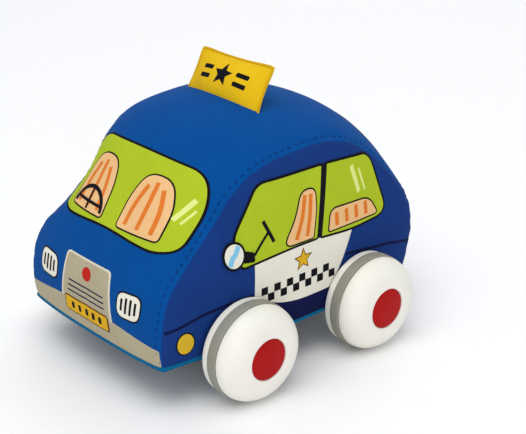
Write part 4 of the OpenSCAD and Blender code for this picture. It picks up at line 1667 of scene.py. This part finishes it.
@dataclass
class RoofSign:
    """Small leaning pillow sewn to the roof, with a star between two bars."""

    form: ClothForm
    width: float = 38.5 * MM
    height: float = 15.6 * MM
    thickness: float = 8.0 * MM
    lean: float = math.radians(36)
    lift: float = 0.4 * MM
    place_share: float = 0.579
    swell_power: float = 0.72
    side_draw: float = 0.04
    top_draw: float = 0.06
    corner_draw: float = 0.035
    corner_power: int = 10
    tilt: float = 0.035
    root: float = -0.16
    edge_radius: float = 0.45 * MM
    cols: int = 40
    rows: int = 20
    fill: float = 0.7
    crease: float = 60.0
    settling: Settling = Settling(pressure=4.0, most_move=0.5 * MM, slack=0.03, drawn_in=True)
    surface: BVHTree = field(init=False)

    @property
    def out(self) -> Vector:
        """Direction out of the pillow's front."""
        return Vector((math.cos(self.lean), 0, math.sin(self.lean)))

    def middle(self, u: float, w: float) -> Vector:
        """Finds a point on the pillow's middle sheet.

        Args:
            u: Place across it, from -1 to 1.
            w: Place up it, from 0 at the roof to 1.

        Returns:
            The point.
        """
        s = self.place_share * self.form.spans
        full = max(w, 0)
        drawn_in = self.side_draw * 4 * full * (1 - full) + self.corner_draw * full ** self.corner_power
        half = self.width / 2 * (1 - drawn_in)
        drawn_down = self.top_draw * (1 - u * u) + self.corner_draw * u ** self.corner_power
        up = self.height * w * (1 - drawn_down + self.tilt * u)
        roof = self.form.wrap(s, u * half / self.form.seam(s).y)
        top = self.form.wrap(s, 0)
        level = Vector((top.x, roof.y, top.z))
        rise = up * math.cos(self.lean) + self.lift
        return roof.lerp(level, min(full, 1)) + Vector((-up * math.sin(self.lean), 0, rise))

    def skin(self, u: float, w: float, side: int) -> Vector:
        """Finds a point on one of the pillow's skins.

        Args:
            u: Place across it, from -1 to 1.
            w: Place up it, from 0 at the roof to 1.
            side: 1 for the front skin, -1 for the back.

        Returns:
            The point.
        """
        rise = (w - self.root) / (1 - self.root)
        swell = max((1 - u * u) * 4 * rise * (1 - rise), 0) ** self.swell_power * self.thickness / 2
        return self.middle(u, w) + self.out * side * swell

    def build(self) -> None:
        """Makes the pillow, its print and its edge."""
        steps_u = [math.sin(math.pi * (i / self.cols - 0.5)) for i in range(self.cols + 1)]
        rises = [0.5 + 0.5 * math.sin(math.pi * (j / self.rows - 0.5)) for j in range(self.rows + 1)]
        steps_w = [self.root + (1 - self.root) * rise for rise in rises]
        points, faces = [], []
        for side in (1, -1):
            n = len(points)
            points += [self.skin(u, w, side) for u in steps_u for w in steps_w]
            quads = grid_faces(self.cols + 1, self.rows + 1)
            faces += [(n + a, n + d, n + c, n + b) for a, b, c, d in quads]
        pillow = mesh_object("roof_pillow", points, faces)
        face_outwards(pillow, merge=SAME_POINT)
        ends_u, ends_w = (steps_u[0], steps_u[-1]), (steps_w[0], steps_w[-1])
        rim = point_tree([
            self.middle(u, w) for u in steps_u for w in steps_w if u in ends_u or w in ends_w])
        sewn = [v.index for v in pillow.data.vertices if rim.find(v.co)[2] < 2 * SAME_POINT]
        self.settling.run(pillow, sewn)
        modify(pillow, "SUBSURF", levels=1, render_levels=1)
        shade_smooth(pillow, self.crease)
        self.surface = surface_of(pillow)
        dress(
            pillow, SIGN_YELLOW,
            stands_for=("sign_front_panel", "sign_back_panel", "sign_filling"))
        self.print_sheet().build(self.place_print)
        self.pipe_edge()

    def pipe_edge(self) -> None:
        """Makes the sewn edge round the pillow's two ends and its top."""
        rise = [j / self.rows for j in range(self.rows + 1)]
        across = [2 * i / self.cols - 1 for i in range(1, self.cols)]
        line = [self.middle(-1, w) for w in rise] + [self.middle(u, 1) for u in across]
        line += [self.middle(1, w) for w in reversed(rise)]
        edge = tube_along("roof_sign_edge", line, self.edge_radius, closed=False)
        # The edge's darker yellow is painted shade along the pillow's seam
        dress(edge, SIGN_EDGE_SHADE)

    def print_sheet(self) -> PrintSheet:
        """Draws a star between two bars, in millimetres across and up the pillow's face.

        Returns:
            The print.
        """
        sheet = PrintSheet("roof_sign_print", Panel.WRAP, "sign_yellow")
        sheet.add(INK_BLACK, 0, star(0, 7.4, 4.8))
        for x in (-9.4, 9.4):
            sheet.add(INK_BLACK, 0, *[box(x - 2.9, y - 0.85, x + 2.9, y + 0.85, 0.5) for y in (5.4, 9.0)])
        return sheet

    def place_print(self, panel: Panel, across: float, up: float) -> tuple[Vector, Vector]:
        """Finds a print's place on the pillow's front skin.

        Args:
            panel: Not needed here; the pillow has one printed face.
            across: Metres across the face from its middle.
            up: Metres up the face from the roof.

        Returns:
            The point on the cloth and the direction out of it.
        """
        start = self.middle(across / (self.width / 2), up / self.height) + self.out * self.thickness
        point, normal, _, _ = self.surface.ray_cast(start, -self.out)
        return point, normal


# Wheels

class Corner(Enum):
    """The four wheels."""

    FRONT_LEFT = "front_left"
    FRONT_RIGHT = "front_right"
    REAR_LEFT = "rear_left"
    REAR_RIGHT = "rear_right"

    @property
    def body(self) -> str:
        """Body that the wheel turns with."""
        return f"{self.value.split('_')[0]}_wheelset"

    @property
    def side(self) -> int:
        """1 on the car's left, -1 on its right."""
        return 1 if self.value.endswith("left") else -1


@dataclass
class Wheel:
    """Hard wheel of two white halves, a grey ring between them and a red cap."""

    corner: Corner
    radius: float = 17.8 * MM
    tyre_proud: float = 0.3 * MM
    tyre_depth: float = 1.9 * MM
    inner_width: float = 3.0 * MM
    tyre_width: float = 4.0 * MM
    rim_round: float = 0.7 * MM
    lip_round: float = 0.25 * MM
    dome_height: float = 7.3 * MM
    cap_radius: float = 7.5 * MM
    cap_lip: float = 0.9 * MM
    cap_depth: float = 1.6 * MM
    cap_crown: float = 0.6 * MM
    cap_sunk: float = 0.55 * MM
    seat_round: float = 0.75 * MM
    seat_gap: float = 0.1 * MM
    cap_edge: float = 0.35 * MM
    axle_radius: float = 1.52 * MM
    turns: int = 96
    arc_steps: int = 6
    tyre_arc_steps: int = 4
    cap_arc_steps: int = 5
    dome_steps: int = 24
    cap_steps: int = 10
    crease: float = 35.0
    face: float = field(init=False)
    centre: Vector = field(init=False)

    def build(self) -> None:
        """Makes and dresses the four pieces."""
        low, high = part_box(f"{self.corner.value}_wheel_inner")
        self.face = low.y if self.corner.side > 0 else -high.y
        self.centre = (low + high) / 2
        pieces = (
            ("inner_rim", "wheel_inner", self.inner_rim(), WHEEL_WHITE, "wheel_white"),
            ("tyre_ring", "tyre", self.tyre_ring(), TYRE_GREY, "tyre_grey"),
            ("dome", "wheel_outer", self.dome(), WHEEL_WHITE, "wheel_white"),
            ("cap", "hub_cap", self.cap(), HUB_RED, "hub_red"),
        )
        for piece, node, profile, finish, slot in pieces:
            obj = self.spin(f"{self.corner.value}_{piece}", profile)
            shade_smooth(obj, self.crease)
            dress(obj, finish, self.corner.body, stands_for=(f"{self.corner.value}_{node}",))

    def inner_rim(self) -> list[Point2]:
        """Profile of the half on the body side.

        Returns:
            Radius and distance from the wheel's inner face of each point.
        """
        rim, bore, lip = self.radius - self.tyre_proud, self.axle_radius, self.lip_round
        end = self.inner_width
        drum = self.radius - self.tyre_depth
        return [
            (bore, 0.0),
            *arc_points(rim - self.rim_round, self.rim_round, self.rim_round, -90, 0, self.arc_steps),
            *arc_points(rim - lip, end - lip, lip, 0, 90, self.arc_steps // 2), (drum, end),
            (drum, end + self.tyre_width), (bore, end + self.tyre_width)]

    def tyre_ring(self) -> list[Point2]:
        """Profile of the grey ring.

        Returns:
            Radius and distance from the wheel's inner face of each point.
        """
        start, end = self.inner_width, self.inner_width + self.tyre_width
        edge, drum, steps = self.tyre_proud, self.radius - self.tyre_depth, self.tyre_arc_steps
        return [
            (drum, start), *arc_points(self.radius - edge, start + edge, edge, -90, 0, steps),
            *arc_points(self.radius - edge, end - edge, edge, 0, 90, steps), (drum, end)]

    @property
    def dome_start(self) -> float:
        """Where the dome springs from its rim."""
        return self.inner_width + self.tyre_width + self.rim_round

    @property
    def dome_end(self) -> float:
        """Outer face of the wheel."""
        return self.dome_start + self.dome_height

    def dome(self) -> list[Point2]:
        """Profile of the domed half, with the seat of the cap.

        Returns:
            Radius and distance from the wheel's inner face of each point.
        """
        rim, start, end = self.radius - self.tyre_proud, self.dome_start, self.dome_end
        foot = start - self.rim_round
        seat = self.cap_radius + self.seat_gap
        crown = self.cap_radius + self.cap_lip
        angles = [math.pi / 2 * i / self.dome_steps for i in range(1, self.dome_steps + 1)]
        swell = [
            (crown + (rim - crown) * math.cos(a), start + self.dome_height * math.sin(a)) for a in angles]
        lip = self.seat_round
        return [
            (0.0, end - self.cap_depth), (0.0, foot), (rim - self.rim_round, foot),
            *arc_points(rim - self.rim_round, start, self.rim_round, -90, 0, self.arc_steps)[1:], *swell,
            *arc_points(seat + lip, end - lip, lip, 90, 180, self.arc_steps), (seat, end - self.cap_depth)]

    def cap(self) -> list[Point2]:
        """Profile of the red cap, crowned and with a rounded edge.

        Returns:
            Radius and distance from the wheel's inner face of each point.
        """
        base, top = self.dome_end - self.cap_depth, self.dome_end - self.cap_sunk
        edge = self.cap_edge
        shares = [1 - i / self.cap_steps for i in range(1, self.cap_steps + 1)]
        crown = [((self.cap_radius - edge) * t, top + self.cap_crown * (1 - t ** 2)) for t in shares]
        return [
            (0.0, base), (self.cap_radius, base),
            *arc_points(self.cap_radius - edge, top - edge, edge, 0, 90, self.cap_arc_steps), *crown]

    def spin(self, name: str, profile: list[Point2]) -> bpy.types.Object:
        """Turns a closed profile about the axle.

        Args:
            name: Name of the piece.
            profile: Radius and distance from the wheel's inner face, in metres.

        Returns:
            The piece.
        """
        side = self.corner.side
        points = [(self.centre.x + r, side * (self.face + s), self.centre.z) for r, s in profile]
        edges = [(i, (i + 1) % len(points)) for i in range(len(points))]
        obj = mesh_object(name, points, [], edges)
        middle = (self.centre.x, 0, self.centre.z)
        with whole_mesh_in_edit(obj):
            bpy.ops.mesh.spin(steps=self.turns, angle=2 * math.pi, center=middle, axis=(0, 1, 0))
        face_outwards(obj, merge=SAME_POINT)
        return obj


# Chassis and motor: solids whose shape is right, dressed here

class ChassisDress:
    """Finishes of the chassis, the motor and the axles."""

    FINISHES: dict[str, Finish] = {
        "chassis_tray": CHASSIS_BLACK, "axle_tubes": CHASSIS_BLACK, "clamp_frame": CHASSIS_BLACK,
        "motor_case_left": CASE_GREY, "motor_case_right": CASE_GREY,
        "drive_pinion": GEAR_WHITE, "intermediate_gear": GEAR_WHITE, "spring_gear": GEAR_WHITE,
        "chassis_screws": STEEL, "case_screws": STEEL, "intermediate_pin": STEEL, "mainspring": STEEL,
        "front_axle": STEEL, "rear_axle": STEEL,
    }

    def build(self) -> None:
        """Gives each solid its material."""
        for node, finish in self.FINISHES.items():
            obj = frame["nodes"][node]
            obj.data.materials.clear()
            obj.data.materials.append(material_of(finish))
            LOG.info("dressed %s", node)


# Floor, light and camera

@dataclass(frozen=True)
class SoftLight:
    """Square soft light that faces the car: its place and side in metres, and its power in watts."""

    name: str
    place: tuple[float, float, float]
    side: float
    power: float

    def build(self) -> None:
        """Adds the light."""
        lamp = bpy.data.lights.new(self.name, "AREA")
        lamp.size = self.side
        lamp.energy = self.power
        obj = link_object(self.name, lamp)
        obj.location = self.place
        middle = (CAD_BOX[0] + CAD_BOX[1]) / 2
        obj.rotation_euler = (middle - Vector(self.place)).to_track_quat("-Z", "Y").to_euler()


@dataclass
class Studio:
    """Pale floor, soft light and the camera of the photograph."""

    camera_place: tuple[float, float, float] = (305.7 * MM, 369.0 * MM, 252.8 * MM)
    camera_right: tuple[float, float, float] = (-0.7513, 0.6600, 0.0)
    camera_up: tuple[float, float, float] = (-0.2642, -0.3007, 0.9164)
    focal_pixels: float = 1415.3
    image_width: float = 526.0
    sensor: float = 36.0
    floor_size: float = 6.0
    nearest: float = 0.01
    furthest: float = 20.0
    sky_colour: str = "#f4f6fa"
    sky_strength: float = 0.62
    lights: tuple[SoftLight, ...] = (
        SoftLight("key", (0.3, 0.15, 0.95), 0.8, 4.8),
        SoftLight("fill", (0.6, 0.95, 0.2), 0.9, 3.6),
        SoftLight("back", (-0.75, -0.55, 0.8), 0.9, 3.0),
    )

    def build(self) -> None:
        """Makes the floor, the lights and the camera."""
        bpy.context.scene.view_settings.view_transform = "Standard"
        self.lay_floor()
        for light in self.lights:
            light.build()
        world = bpy.data.worlds.new("soft_sky")
        world.use_nodes = True
        sky = world.node_tree.nodes["Background"]
        sky.inputs["Color"].default_value = linear(self.sky_colour)
        sky.inputs["Strength"].default_value = self.sky_strength
        bpy.context.scene.world = world
        self.place_camera()

    def lay_floor(self) -> None:
        """Makes the pale floor."""
        bpy.ops.object.select_all(action="DESELECT")
        bpy.ops.mesh.primitive_plane_add(size=self.floor_size)
        floor = bpy.context.object
        floor.name = "studio_floor"
        floor.data.materials.append(material_of(STUDIO_PAPER))

    def place_camera(self) -> None:
        """Sets the camera where the photograph was taken from."""
        camera = bpy.data.cameras.new("camera")
        camera.sensor_width = self.sensor
        camera.lens = self.focal_pixels / self.image_width * self.sensor
        camera.clip_start, camera.clip_end = self.nearest, self.furthest
        obj = link_object("camera", camera)
        right, up = Vector(self.camera_right).normalized(), Vector(self.camera_up).normalized()
        back = right.cross(up)
        turn = Matrix((right, up, back)).transposed().to_4x4()
        obj.matrix_world = Matrix.Translation(self.camera_place) @ turn
        bpy.context.scene.camera = obj


def write_sizes() -> None:
    """Brings the scene up to date."""
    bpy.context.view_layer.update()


def main() -> None:
    """Builds the car and the studio."""
    logging.basicConfig(level=logging.INFO, format="%(message)s")
    body = StuffedBody()
    body.build()
    SeamStitches(body).build()
    Livery(body).build()
    RoofSign(body.form).build()
    for corner in Corner:
        Wheel(corner).build()
    ChassisDress().build()
    Studio().build()
    write_sizes()


if __name__ == "__main__":
    main()
